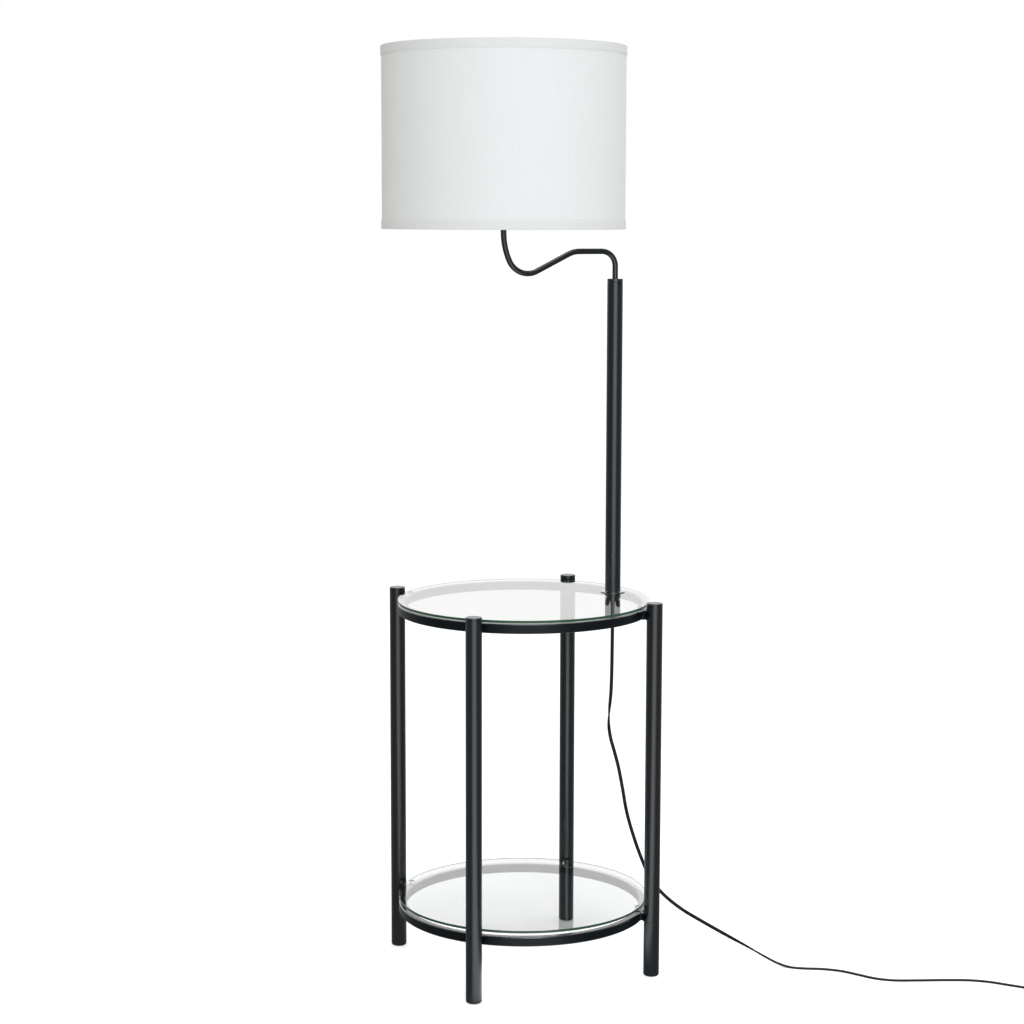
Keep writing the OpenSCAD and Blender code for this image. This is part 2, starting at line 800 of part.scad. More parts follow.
// The moulded shell, with the shade's shoulder and a hole for the switch stem
module socket_shell() {
    color(black_plastic)
        on_head() translate([0, 0, shell_z])
            difference() {
                union() {
                    cylinder(r = socket_d / 2, h = shell_h);
                    translate([0, 0, shoulder_h]) cylinder(r = shoulder_d / 2, h = shoulder_t);
                }
                translate([0, 0, -past]) cylinder(r = shell_bore / 2, h = shell_h + 2 * past);
                rotate([0, 0, knob_bearing]) translate([0, 0, core_h / 2]) rotate([0, 90, 0])
                    cylinder(r = stem_d / 2 + 2 * turn_gap, h = socket_d);
            }
}

// The switch body that fills the shell's lower end, with the stem's bearing
module switch_body() {
    color([0.85, 0.80, 0.70])
        on_head() translate([0, 0, core_z])
            difference() {
                cylinder(r = core_r, h = core_h);
                rotate([0, 0, knob_bearing]) translate([2.5, 0, core_h / 2]) rotate([0, 90, 0])
                    cylinder(r = stem_d / 2 + run_gap, h = socket_d, $fn = 48);
            }
}

// The threaded metal shell that takes the bulb's base
module screw_shell() {
    color(brass)
        on_head() tube(screw_shell_r, screw_shell_wall, shell_h - core_h - 3, core_z + core_h);
}
module switch_stem() {
    color(brass)
        on_head() rotate([0, 0, knob_bearing]) translate([3, 0, knob_z]) rotate([0, 90, 0])
            cylinder(d = stem_d, h = knob_at_r + knob_l - 6, $fn = 48);
}

// A fluted knob with a domed end, turned about the stem's axis
module switch_knob() {
    flutes = 14;
    r = knob_d / 2;
    dome = 1.5;
    color(black_plastic)
        on_head() rotate([0, 0, knob_bearing]) translate([knob_at_r, 0, knob_z]) rotate([0, 90, 0])
            difference() {
                rounded_disc(r, knob_l, dome);
                translate([0, 0, -past]) cylinder(r = stem_d / 2 + press_gap, h = knob_l - 3 + past, $fn = 48);
                for (i = [0:flutes - 1])
                    rotate(360 * i / flutes) translate([r + 0.35, 0, -past])
                        cylinder(r = 0.8, h = knob_l - dome - 1 + past, $fn = 16);
            }
}

// The fluted ring that clamps the shade's hub on the shoulder
module shade_clamp_ring() {
    flutes = 24;
    color(black_plastic)
        on_head() translate([0, 0, clamp_z])
            difference() {
                cylinder(r = clamp_d / 2, h = clamp_h);
                translate([0, 0, -past]) cylinder(r = shell_top_r + thread_gap, h = clamp_h + 2 * past);
                for (i = [0:flutes - 1])
                    rotate(360 * i / flutes) translate([clamp_d / 2 + 0.6, 0, -past])
                        cylinder(r = 1.4, h = clamp_h + 2 * past, $fn = 16);
            }
}

// --- Bulb ---

// The screw base: contact button, insulating cone and straight side
module bulb_base() {
    r = bulb_base_d / 2;
    w = bulb_wall;
    color(steel)
        on_head() translate([0, 0, bulb_z])
            rotate_extrude()
                polygon([[0, 0], [4.6, 0], [4.8, 1], [9.5, 3.2], [r, 4.4], [r, bulb_base_h],
                    [r - w, bulb_base_h], [r - w, 4.4 + w], [9.5, 3.2 + w], [0, 3.2 + w]]);
}

// The globe: a blown ball on a neck that blends into the base, open below
module bulb_globe() {
    ball_r = bulb_d / 2;
    neck_r = bulb_base_d / 2 + 0.6;
    ball_z = bulb_h - ball_r;
    low = -38;
    waist_z = ball_z + ball_r * sin(low);
    steps = 14;
    ball = function(r) [for (i = [0:steps - 1]) let (a = low + (90 - low) * i / steps)
        [r * cos(a), ball_z + r * sin(a)]];
    neck = function(inset) let (waist = (ball_r - inset) * cos(low))
        [for (i = [0:5]) let (t = i / 6)
            [neck_r - inset + (waist - neck_r + inset) * pow(t, 1.4),
                bulb_base_h + (waist_z - bulb_base_h) * t]];
    outside = concat(neck(0), ball(ball_r), [[0, bulb_h]]);
    inside = concat(neck(bulb_wall), ball(ball_r - bulb_wall), [[0, bulb_h - bulb_wall]]);
    color([0.97, 0.97, 0.95])
        on_head() translate([0, 0, bulb_z])
            rotate_extrude()
                polygon(concat(outside, [for (i = [len(inside) - 1:-1:0]) inside[i]]));
}

// --- Shade ---

// A wire hoop at height z
module hoop(z) {
    translate([0, 0, z])
        rotate_extrude($fn = 144) translate([hoop_r, 0]) circle(d = wire_d, $fn = 24);
}

// The hoop's middle above the shade's rim
function hoop_lift() = hem_t + press_gap + wire_d / 2;

// The lower hoop with three arms up to a hub that drops over the socket
module shade_bottom_frame() {
    hoop_z = shade_z + hoop_lift();
    hub_mid_z = hub_z + hub_t / 2;
    arm_from = hub_d / 2 - 1.2;
    arm_run = hoop_r - arm_from;
    fall = hub_mid_z - hoop_z;
    color(steel)
        on_head() {
            hoop(hoop_z);
            difference() {
                union() {
                    translate([0, 0, hub_z]) cylinder(r = hub_d / 2, h = hub_t);
                    for (a = spider_bearings)
                        rotate(a) translate([arm_from, 0, hub_mid_z])
                            rotate([0, 90 + atan(fall / arm_run), 0])
                                cylinder(d = spoke_d, h = norm([arm_run, fall]), $fn = 24);
                }
                translate([0, 0, hub_z - wire_d])
                    cylinder(r = hub_bore_r, h = hub_t + 2 * wire_d);
            }
        }
}
module shade_top_ring() {
    color(steel) on_head() hoop(shade_top_z - hoop_lift());
}
module shade_fabric() {
    color(linen)
        on_head() translate([0, 0, shade_z + hem_t])
            difference() {
                cylinder(r = fabric_r, h = shade_h - 2 * hem_t, $fn = 180);
                translate([0, 0, -past])
                    cylinder(r = fabric_bore_r, h = shade_h + 2 * past, $fn = 180);
            }
}

// A tape folded over a rim: outside band, rim and inside band around the hoop
module hem_profile() {
    outside = fabric_r + hem_t;
    inside = hem_inner_r - hem_t;
    polygon([[outside, 0], [outside, hem_w], [fabric_r, hem_w], [fabric_r, hem_t], [hem_inner_r, hem_t],
        [hem_inner_r, hem_inside], [inside, hem_inside], [inside, 0]]);
}
module shade_top_hem() {
    color(tape)
        on_head() translate([0, 0, shade_top_z]) mirror([0, 0, 1])
            rotate_extrude($fn = 180) hem_profile();
}

// The lower tape is notched where the spider's arms pass through it
module shade_bottom_hem() {
    hoop_z = hoop_lift();
    color(tape)
        on_head() translate([0, 0, shade_z])
            difference() {
                rotate_extrude($fn = 180) hem_profile();
                for (a = spider_bearings)
                    rotate(a) translate([hem_inner_r - hem_t - past, -wire_d / 2 - turn_gap, hoop_z - wire_d / 2])
                        cube([hem_t + 2 * past, wire_d + 2 * turn_gap, hem_inside]);
            }
}

// --- Cord ---

// A point on the smooth curve through four neighbours, between the middle two
function through(p, t) = 0.5 * (2 * p[1] + (p[2] - p[0]) * t
    + (2 * p[0] - 5 * p[1] + 4 * p[2] - p[3]) * t * t
    + (3 * p[1] - p[0] - 3 * p[2] + p[3]) * t * t * t);

// The curve through all the points, with a number of rings to each leg
function curve(p, n) = let (last = len(p) - 1)
    concat([for (i = [0:last - 1], k = [0:n - 1])
        through([p[max(i - 1, 0)], p[i], p[i + 1], p[min(i + 2, last)]], k / n)], [p[last]]);

// The direction of travel at each point, with given directions at the two ends
function travel(p, first, final) = let (last = len(p) - 1)
    [for (i = [0:last]) i == 0 ? first : i == last ? final : unit(p[i + 1] - p[i - 1])];

// Which way the cord's flat side looks at a height
function flat_side(z) = z > lie_down_z
    ? let (a = 180 * smooth((twist_top_z - z) / (twist_top_z - twist_low_z))) [sin(a), -cos(a), 0]
    : let (w = smooth((lie_down_z - z) / (lie_down_z - lie_z))) unit([0, 1 - w, w]);

// Rings of a flat section around a path: across it by w, through it by t
function rings(p, go, looks, sides, w, t) = [for (i = [0:len(p) - 1])
    let (n = unit(looks[i] - (looks[i] * go[i]) * go[i]), across = cross(n, go[i]))
    [for (k = [0:sides - 1]) let (a = 360 * k / sides) p[i] + across * (w / 2 * cos(a)) + n * (t / 2 * sin(a))]];

// A closed skin over the rings
module skin(r) {
    sides = len(r[0]);
    count = len(r);
    corners = [for (ring = r, p = ring) p];
    walls = [for (i = [0:count - 2], k = [0:sides - 1])
        let (a = i * sides + k, b = i * sides + (k + 1) % sides, c = b + sides, d = a + sides)
        each [[a, d, c], [a, c, b]]];
    start_cap = [for (k = [1:sides - 2]) [0, k, k + 1]];
    end_first = (count - 1) * sides;
    end_cap = [for (k = [1:sides - 2]) [end_first, end_first + k + 1, end_first + k]];
    polyhedron(corners, concat(walls, start_cap, end_cap), convexity = 8);
}
run_path = curve(run_points, rings_per_leg);
run_end_way = [cos(coil_heading), sin(coil_heading), 0];
run_rings = rings(run_path, travel(run_path, [0, 0, -1], run_end_way), [for (p = run_path) flat_side(p[2])],
    run_sides, cord_w, cord_t);
module cord_run() {
    color(black_plastic) skin(run_rings);
}

// Where the coil's middle line is after t turns
function coil_radius(t) = let (turning = coil_in_turns + coil_back_turns / 2)
    coil_r - coil_pitch * turning + coil_pitch * norm([t - turning, 0.03]);
function coil_height(t) = lie_z + coil_climb * smooth((t - coil_in_turns) / coil_back_turns);
function coil_point(t) = coil_middle + concat(polar(coil_radius(t), coil_first + 360 * t), [0])
    + [0, 0, coil_height(t) - lie_z];
plug_mid_z = plug_t / 2;
coil_rounds = ceil(coil_turns * coil_rings);
coil_last = coil_point(coil_turns);
coil_way = [cos(coil_end_heading), sin(coil_end_heading), 0];
tail_steps = 3;
coil_path = concat([coil_start, coil_start + cord_w * run_end_way],
    [for (i = [1:coil_rounds]) coil_point(coil_turns * i / coil_rounds)],
    [for (i = [1:tail_steps]) let (u = i / tail_steps)
        coil_last + coil_way * (coil_tail - cord_w) * u + [0, 0, (plug_mid_z - coil_last[2]) * smooth(u)]],
    [coil_last + coil_way * coil_tail + [0, 0, plug_mid_z - coil_last[2]]]);
coil_ring_list = rings(coil_path, travel(coil_path, run_end_way, coil_way), [for (p = coil_path) [0, 0, 1]],
    coil_sides, cord_w, cord_t);
module cord_coil() {
    color(black_plastic) skin(coil_ring_list);
}

// --- Plug ---

// Its children at the end of the cord, looking along it
module at_plug() {
    translate(coil_last + coil_way * coil_tail + [0, 0, plug_mid_z - coil_last[2]])
        rotate([0, 0, coil_end_heading]) children();
}

// A moulded body: a narrow tail, a waist with grip ribs and a flat front
module plug_body() {
    w = plug_w / 2;
    t = plug_t;
    tail_w = cord_w / 2 + 1.2;
    outline = [[0, tail_w], [6, tail_w + 0.8], [11, w - 3.2], [15, w - 1.4], [plug_l - 5, w], [plug_l, w],
        [plug_l, -w], [plug_l - 5, -w], [15, -w + 1.4], [11, -w + 3.2], [6, -tail_w - 0.8], [0, -tail_w]];
    side = [[0, -3.2], [8, -t / 2 + 1], [14, -t / 2], [plug_l, -t / 2], [plug_l, t / 2], [14, t / 2],
        [8, t / 2 - 1], [0, 3.2]];
    color(black_plastic)
        at_plug()
            difference() {
                intersection() {
                    translate([0, 0, -t / 2]) linear_extrude(t) polygon(outline);
                    translate([0, plug_w / 2, 0]) rotate([90, 0, 0]) linear_extrude(plug_w) polygon(side);
                }
                for (i = [0:3], s = [1, -1])
                    translate([12 + 3 * i, s * (w + 1), -t]) cylinder(r = 1.4 + 0.1 * i, h = 2 * t, $fn = 16);
            }
}

// Two flat blades with holes, one wider than the other
module plug_blades() {
    blade_t = 1.5;
    blade_l = 16;
    spacing = 12.7;
    color(brass)
        at_plug() translate([plug_l, 0, 0])
            for (side = [-1, 1]) {
                blade_w = side < 0 ? 6.3 : 7.9;
                translate([0, side * spacing / 2, 0])
                    difference() {
                        translate([0, -blade_t / 2, -blade_w / 2]) cube([blade_l, blade_t, blade_w]);
                        translate([blade_l - 4, 0, 0]) rotate([90, 0, 0])
                            cylinder(r = 1.6, h = 2 * blade_t, center = true, $fn = 24);
                    }
            }
}

// --- Lengths that the source reports ---

function path_length(p) = [for (i = 0, s = 0; i < len(p) - 1; s = s + norm(p[i + 1] - p[i]), i = i + 1) s
    + norm(p[i + 1] - p[i])];
run_length = path_length(run_path)[len(run_path) - 2];
coil_length = path_length(coil_path)[len(coil_path) - 2];
// The least gap between turns, over corners of rings that are more than half a loop apart
coil_gap = min([for (i = [0:len(coil_ring_list) - 1], j = [i + coil_rings / 2:1:len(coil_ring_list) - 1])
    for (a = coil_ring_list[i], b = coil_ring_list[j]) norm(a - b)]);
echo(run_rings = len(run_rings), coil_rings = len(coil_ring_list));
echo(run_length = run_length, coil_length = coil_length, cord_length = run_length + coil_length);
echo(coil_gap = coil_gap, coil_end = coil_last, arm_end_z = arm_end_z, arm_slope = arm_slope);
echo(head_at = head_at, shade_z = shade_z, shade_top_z = shade_top_z, glass_top_z = glass_top_z);

top_ring();
leg_stub(0);  // leg_stub_1
leg_stub(1);  // leg_stub_2
leg_stub(2);  // leg_stub_3
leg_stub(3);  // leg_stub_4
leg_caps();
stub_plugs();
shelf_ring();
leg_tube(0);  // leg_tube_1
leg_tube(1);  // leg_tube_2
leg_tube(2);  // leg_tube_3
leg_tube(3);  // leg_tube_4
leg_top_plugs();
leg_bottom_plugs();
foot_tube(0);  // foot_tube_1
foot_tube(1);  // foot_tube_2
foot_tube(2);  // foot_tube_3
foot_tube(3);  // foot_tube_4
foot_top_plugs();
foot_pads();
table_glass();
shelf_glass();
top_glass_pads();
shelf_glass_pads();
base_gasket();
base_flange();
under_gasket();
under_washer();
wing_nut();
threaded_nipple();
cord_bushing();
pole_base_plug();
pole();
pole_ferrule();
friction_screw();
pole_wire();
swivel_cap();
arm();
pivot_nut();
arm_wire();
socket_cup();
socket_shell();
switch_body();
screw_shell();
switch_stem();
switch_knob();
shade_clamp_ring();
bulb_base();
bulb_globe();
shade_bottom_frame();
shade_top_ring();
shade_fabric();
shade_top_hem();
shade_bottom_hem();
cord_run();
cord_coil();
plug_body();
plug_blades();
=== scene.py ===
"""Dresses a floor lamp with a round glass table, around the frame that its solids give.

Sizes are millimetres in the frame's own axes: Z up, the origin on the floor at the glass discs'
axis. They become metres where a surface is put into a mesh. Angles and bearings are degrees.
"""

import json
import logging
import math
from dataclasses import dataclass
from enum import Enum

import bmesh
import bpy
import numpy as np
from mathutils import Matrix, Vector

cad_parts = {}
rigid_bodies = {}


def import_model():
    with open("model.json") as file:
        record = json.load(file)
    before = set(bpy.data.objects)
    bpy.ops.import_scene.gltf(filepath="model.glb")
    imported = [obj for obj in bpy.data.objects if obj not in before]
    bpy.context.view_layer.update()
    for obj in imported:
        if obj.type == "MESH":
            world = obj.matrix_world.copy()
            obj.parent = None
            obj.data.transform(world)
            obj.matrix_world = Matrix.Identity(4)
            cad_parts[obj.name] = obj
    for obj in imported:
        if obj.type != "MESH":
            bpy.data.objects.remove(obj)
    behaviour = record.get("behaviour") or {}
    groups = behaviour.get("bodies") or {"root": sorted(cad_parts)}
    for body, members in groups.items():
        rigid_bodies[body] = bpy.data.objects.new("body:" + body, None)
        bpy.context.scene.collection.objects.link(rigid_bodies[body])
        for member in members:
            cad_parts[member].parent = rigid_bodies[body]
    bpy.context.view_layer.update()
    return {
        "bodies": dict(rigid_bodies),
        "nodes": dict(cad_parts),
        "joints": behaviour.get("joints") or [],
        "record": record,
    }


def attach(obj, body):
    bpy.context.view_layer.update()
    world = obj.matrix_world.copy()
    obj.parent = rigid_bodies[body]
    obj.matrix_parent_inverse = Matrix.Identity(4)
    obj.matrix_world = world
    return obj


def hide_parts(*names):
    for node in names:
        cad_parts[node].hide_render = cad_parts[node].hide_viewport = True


log = logging.getLogger("floor_lamp")

Pair = tuple[float, float]
Triple = tuple[float, float, float]
Thing = bpy.types.Object
Tree = bpy.types.NodeTree
Node = bpy.types.Node
Socket = bpy.types.NodeSocket
Material = bpy.types.Material
Inputs = dict[str | int, object]

TAU = 2 * math.pi
TINY = 1e-9
SLIGHT = 1e-6


class Body(Enum):
    """The bodies that a piece rides on. The switch key's pieces stay the frame's own solids."""

    TABLE = "table"
    ARM = "lamp_arm"


# ---------------------------------------------------------------- surfaces


@dataclass
class Surface:
    """A skin: points in millimetres, quads, and one UV pair for each quad corner."""

    points: np.ndarray
    quads: np.ndarray
    uv: np.ndarray

    @classmethod
    def from_grid(
        cls,
        grid: np.ndarray,
        u: np.ndarray,
        v: np.ndarray,
        wrap_rows: bool = False,
        wrap_cols: bool = True,
    ) -> "Surface":
        """Joins a grid of points into quads.

        Point (i, j) is tied to (i + 1, j) and (i, j + 1); a wrapped direction ties its last line
        to its first. It has one distance more than points, so that no pattern runs back there.

        Args:
            grid: points, of shape (rows, cols, 3).
            u: the distance at each column.
            v: the distance at each row.
            wrap_rows: whether the last row meets the first.
            wrap_cols: whether the last column meets the first.

        Returns:
            The surface, with its UVs in metres.
        """
        rows, cols = grid.shape[:2]
        uv = np.stack(np.meshgrid(u, v), axis=2) / 1000
        spans = np.arange(rows - (not wrap_rows)), np.arange(cols - (not wrap_cols))
        i, j = (k.ravel() for k in np.meshgrid(*spans, indexing="ij"))
        i2, j2 = (i + 1) % rows, (j + 1) % cols
        quads = np.stack([i * cols + j, i2 * cols + j, i2 * cols + j2, i * cols + j2], axis=1)
        corners = np.stack([uv[i, j], uv[i + 1, j], uv[i + 1, j + 1], uv[i, j + 1]], axis=1)
        return cls(grid.reshape(-1, 3), quads, corners.reshape(-1, 2))

    @classmethod
    def union(cls, parts: list["Surface"]) -> "Surface":
        """Several surfaces as one, each keeping its own UVs."""
        starts = np.cumsum([0] + [len(p.points) for p in parts[:-1]])
        return cls(
            np.concatenate([p.points for p in parts]),
            np.concatenate([p.quads + s for p, s in zip(parts, starts)]),
            np.concatenate([p.uv for p in parts]),
        )

    def moved(self, turn: float, by: Triple = (0.0, 0.0, 0.0)) -> "Surface":
        """This surface turned about the Z axis, then moved."""
        c, s = polar(1.0, turn)
        spin = np.array([[c, s, 0], [-s, c, 0], [0, 0, 1]])
        return Surface(self.points @ spin + np.array(by), self.quads, self.uv)


def build_piece(name: str, surface: Surface, sharp: float, merge: float = 2e-6) -> Thing:
    """Puts a surface into a mesh, in metres, with its object at the origin.

    Doubled points at poles and seams are merged, so that the skin is closed.

    Args:
        name: the piece's name.
        surface: its skin.
        sharp: the least angle at which an edge is drawn sharp.
        merge: the distance, in metres, within which points are merged.

    Returns:
        The object.
    """
    mesh = bpy.data.meshes.new(name)
    mesh.from_pydata(surface.points / 1000, [], surface.quads.tolist())
    layer = mesh.uv_layers.new(name="surface")
    layer.data.foreach_set("uv", surface.uv.astype(np.float32).ravel())
    bm = bmesh.new()
    bm.from_mesh(mesh)
    bmesh.ops.remove_doubles(bm, verts=bm.verts, dist=merge)
    bmesh.ops.recalc_face_normals(bm, faces=bm.faces)
    bm.to_mesh(mesh)
    bm.free()
    mesh.shade_smooth()
    mesh.set_sharp_from_angle(angle=math.radians(sharp))
    piece = bpy.data.objects.new(name, mesh)
    bpy.context.scene.collection.objects.link(piece)
    return piece


def polar(radius: float, bearing: float) -> Pair:
    """The x and y of a point at a radius and a bearing."""
    return radius * math.cos(math.radians(bearing)), radius * math.sin(math.radians(bearing))


def round_angles(count: int) -> np.ndarray:
    """Angles in radians, evenly round a circle, with the first one not repeated."""
    return np.linspace(0, TAU, count, endpoint=False)


def circle(count: int) -> np.ndarray:
    """Points evenly round the unit circle, of shape (count, 2)."""
    a = round_angles(count)
    return np.stack([np.cos(a), np.sin(a)], axis=1)


def unit(v: np.ndarray) -> np.ndarray:
    """Each vector at length one."""
    return v / np.linalg.norm(v, axis=-1, keepdims=True)


def smooth(t: np.ndarray) -> np.ndarray:
    """Zero below 0 and one above 1, with an even start and end between: 3 t^2 - 2 t^3."""
    u = np.clip(t, 0, 1)
    return u * u * (3 - 2 * u)


def signed_power(v: np.ndarray, power: object) -> np.ndarray:
    """The power of each value's size, with the value's own sign."""
    return np.sign(v) * np.abs(v) ** power


def filleted(corners: list[Triple], steps: int, closed: bool = False) -> np.ndarray:
    """Rounds the corners of an outline.

    At a corner p with unit ways a and b to its neighbours, the round of radius r has its centre at
    p + (a + b) / |a + b| * r / sin(half the angle between a and b), and touches the two sides at
    r / tan(half that angle) from p. Its points turn evenly from one touching point to the other.

    Args:
        corners: (x, y, radius) of each corner, in order.
        steps: the number of facets in each round.
        closed: whether the last corner is tied to the first. An open outline's ends stay sharp.

    Returns:
        The points, of shape (n, 2).
    """
    c = np.array(corners, dtype=float)
    p, r = c[:, :2], c[:, 2].copy()
    before, after = np.roll(p, 1, axis=0) - p, np.roll(p, -1, axis=0) - p
    if not closed:
        r[0] = r[-1] = 0.0
        before[0], after[-1] = -after[0], -before[-1]
    a, b = unit(before), unit(after)
    between = np.arccos(np.clip((a * b).sum(axis=1), -1, 1))
    turn = np.maximum(math.pi - between, SLIGHT)[:, None, None]
    half = between / 2
    mid = a + b
    length = np.linalg.norm(mid, axis=1, keepdims=True)
    mid = np.where(length > TINY, mid / np.maximum(length, TINY), 0)
    centre = p + mid * (r / np.sin(half))[:, None]
    reach = (r / np.tan(np.maximum(half, TINY)))[:, None]
    start, end = p + a * reach - centre, p + b * reach - centre
    t = np.linspace(0, 1, steps + 1)[None, :, None]
    arc = (np.sin((1 - t) * turn) * start[:, None] + np.sin(t * turn) * end[:, None]) / np.sin(turn)
    points = (centre[:, None] + arc).reshape(-1, 2)
    step = np.linalg.norm(np.diff(points, axis=0), axis=1)
    return points[np.concatenate([[True], step > SLIGHT])]


def rounded_box(half_w: float, half_h: float, corner: float, steps: int) -> np.ndarray:
    """The closed outline of a rectangle about the origin, with rounded corners."""
    signs = ((1, 1), (-1, 1), (-1, -1), (1, -1))
    return filleted([(half_w * x, half_h * y, corner) for x, y in signs], steps, closed=True)


def tube_outline(radius: float, wall: float, low: float, high: float, edge: float) -> np.ndarray:
    """The closed outline of a tube's wall, with its four edges rounded."""
    inner = radius - wall
    corners = [(radius, low, edge), (radius, high, edge), (inner, high, edge / 2)]
    return filleted([*corners, (inner, low, edge / 2)], 3, closed=True)


def braced(outline: np.ndarray, closed: bool, near: float = 0.12) -> np.ndarray:
    """Adds a point close to each end of every long straight of an outline.

    The skin's smooth normals then bend only within that distance of a round, and the straight
    part keeps its true reflection.

    Args:
        outline: (x, y) points.
        closed: whether the last point is tied to the first.
        near: the distance of each new point from its end.

    Returns:
        The outline with the points added.
    """
    after = np.roll(outline, -1, axis=0)
    length = np.linalg.norm(after - outline, axis=1, keepdims=True)
    step = (after - outline) / np.maximum(length, TINY) * near
    rows = np.stack([outline, outline + step, after - step], axis=1)
    keep = np.ones(rows.shape[:2], dtype=bool)
    keep[:, 1:] = length > 5 * near
    if not closed:
        keep[-1, 1:] = False
    return rows[keep]


def along(points: np.ndarray, closed: bool = False) -> np.ndarray:
    """The distance run at each point of a path, with the whole round added if it is closed."""
    p = np.concatenate([points, points[:1]]) if closed else points
    return np.concatenate([[0.0], np.cumsum(np.linalg.norm(np.diff(p, axis=0), axis=1))])


def revolved(outline: np.ndarray, centre: Pair, turns: int, closed: bool = True) -> Surface:
    """Turns an outline about a vertical axis.

    The point at angle a and outline place (r, z) is (cx + r cos a, cy + r sin a, z). U is the
    distance round at the largest radius and V the distance along the outline.

    Args:
        outline: (r, z) points.
        centre: the axis's x and y.
        turns: the number of facets round the axis.
        closed: whether the outline's last point is tied to its first.

    Returns:
        The surface.
    """
    outline = braced(outline, closed)
    a = round_angles(turns)
    r, z = outline[:, :1], outline[:, 1:]
    x, y = centre[0] + r * np.cos(a), centre[1] + r * np.sin(a)
    u = np.linspace(0, TAU * r.max(), turns + 1)
    return Surface.from_grid(np.stack([x, y, z + 0 * a], axis=2), u, along(outline, closed), closed)


def lofted(rings: np.ndarray, capped: bool = True, closed: bool = False) -> Surface:
    """Ties rings of points, one after another, into a tube.

    Args:
        rings: points of shape (rings, sides, 3).
        capped: whether each end is closed by a fan to the ring's middle.
        closed: whether the last ring is tied to the first.

    Returns:
        The surface. U is the distance round the middle ring and V the distance along.
    """
    if capped:
        middles = rings[[0, -1]].mean(axis=1, keepdims=True)
        first, last = np.repeat(middles, rings.shape[1], 1)[:, None]
        rings = np.concatenate([first, rings, last])
    u = along(rings[len(rings) // 2], True)
    return Surface.from_grid(rings, u, along(rings.mean(axis=1), closed), closed)


def swept(
    path: np.ndarray, across: np.ndarray, through: np.ndarray, outline: np.ndarray
) -> np.ndarray:
    """Carries an outline along a path.

    Ring k's points are path[k] + x * across[k] + y * through[k] for each (x, y) of the outline.

    Args:
        path: the middle line, of shape (n, 3).
        across: the outline's x direction at each point, of shape (n, 3).
        through: the outline's y direction at each point, of shape (n, 3).
        outline: (x, y) points.

    Returns:
        The rings, of shape (n, sides, 3).
    """
    x, y = outline[None, :, :1], outline[None, :, 1:]
    return path[:, None] + across[:, None] * x + through[:, None] * y


def curve_through(points: np.ndarray, per_leg: int) -> np.ndarray:
    """The smooth curve through a list of points.

    Between two points it is the cubic through both whose slopes there are half the chords of
    their neighbours, worked out for all legs at once.

    Args:
        points: the points, of shape (n, dimensions).
        per_leg: the number of steps between two points.

    Returns:
        The curve's points, with every given point among them.
    """
    padded = np.concatenate([points[:1], points, points[-1:]])
    a, b, c, d = (padded[k : len(padded) - 3 + k, None] for k in range(4))
    t = np.linspace(0, 1, per_leg, endpoint=False)[None, :, None]
    square, cube = 2 * a - 5 * b + 4 * c - d, 3 * b - a - 3 * c + d
    curve = 0.5 * (2 * b + (c - a) * t + square * t**2 + cube * t**3)
    return np.concatenate([curve.reshape(-1, points.shape[1]), points[-1:]])


def face_vectors(piece: Thing, label: str) -> np.ndarray:
    """The normal or the center of each face, of shape (n, 3)."""
    values = np.empty(len(piece.data.polygons) * 3)
    piece.data.polygons.foreach_get(label, values)
    return values.reshape(-1, 3)


def paint_faces(piece: Thing, materials: list[Material], index: np.ndarray) -> None:
    """Adds materials to a piece, and gives each face the one that its index names."""
    for material in materials:
        piece.data.materials.append(material)
    piece.data.polygons.foreach_set("material_index", index.astype(np.int32))


# ---------------------------------------------------------------- shader nodes and groups


def wire(tree: Tree, node: Node, inputs: Inputs) -> None:
    """Feeds a node's inputs: a socket is linked, and anything else is the input's own value."""
    for key, value in inputs.items():
        if isinstance(value, Socket):
            tree.links.new(value, node.inputs[key])
        else:
            node.inputs[key].default_value = value


def add(tree: Tree, kind: str, inputs: Inputs | None = None, **settings: object) -> Node:
    """A new node with its settings and inputs."""
    node = tree.nodes.new(kind)
    for key, value in settings.items():
        setattr(node, key, value)
    wire(tree, node, inputs or {})
    return node


def calc(tree: Tree, operation: str, *values: object) -> Socket:
    """The result of a Math node on sockets or numbers."""
    return add(tree, "ShaderNodeMath", dict(enumerate(values)), operation=operation).outputs[0]


def vector(tree: Tree, operation: str, *values: object) -> Node:
    """A Vector Math node on sockets or numbers."""
    return add(tree, "ShaderNodeVectorMath", dict(enumerate(values)), operation=operation)


def noise(
    tree: Tree, place: Socket, scale: object, detail: float = 2.0, rough: float = 0.5
) -> Socket:
    """A noise texture's value, from 0 to 1."""
    inputs = {"Vector": place, "Scale": scale, "Detail": detail, "Roughness": rough}
    return add(tree, "ShaderNodeTexNoise", inputs).outputs["Fac"]


def soft_step(tree: Tree, value: Socket, low: float, high: float, start: float = 0.0) -> Socket:
    """A value that goes evenly from start to one as another goes from low to high."""
    inputs = {"Value": value, "From Min": low, "From Max": high, "To Min": start}
    return add(tree, "ShaderNodeMapRange", inputs, interpolation_type="SMOOTHSTEP").outputs[0]


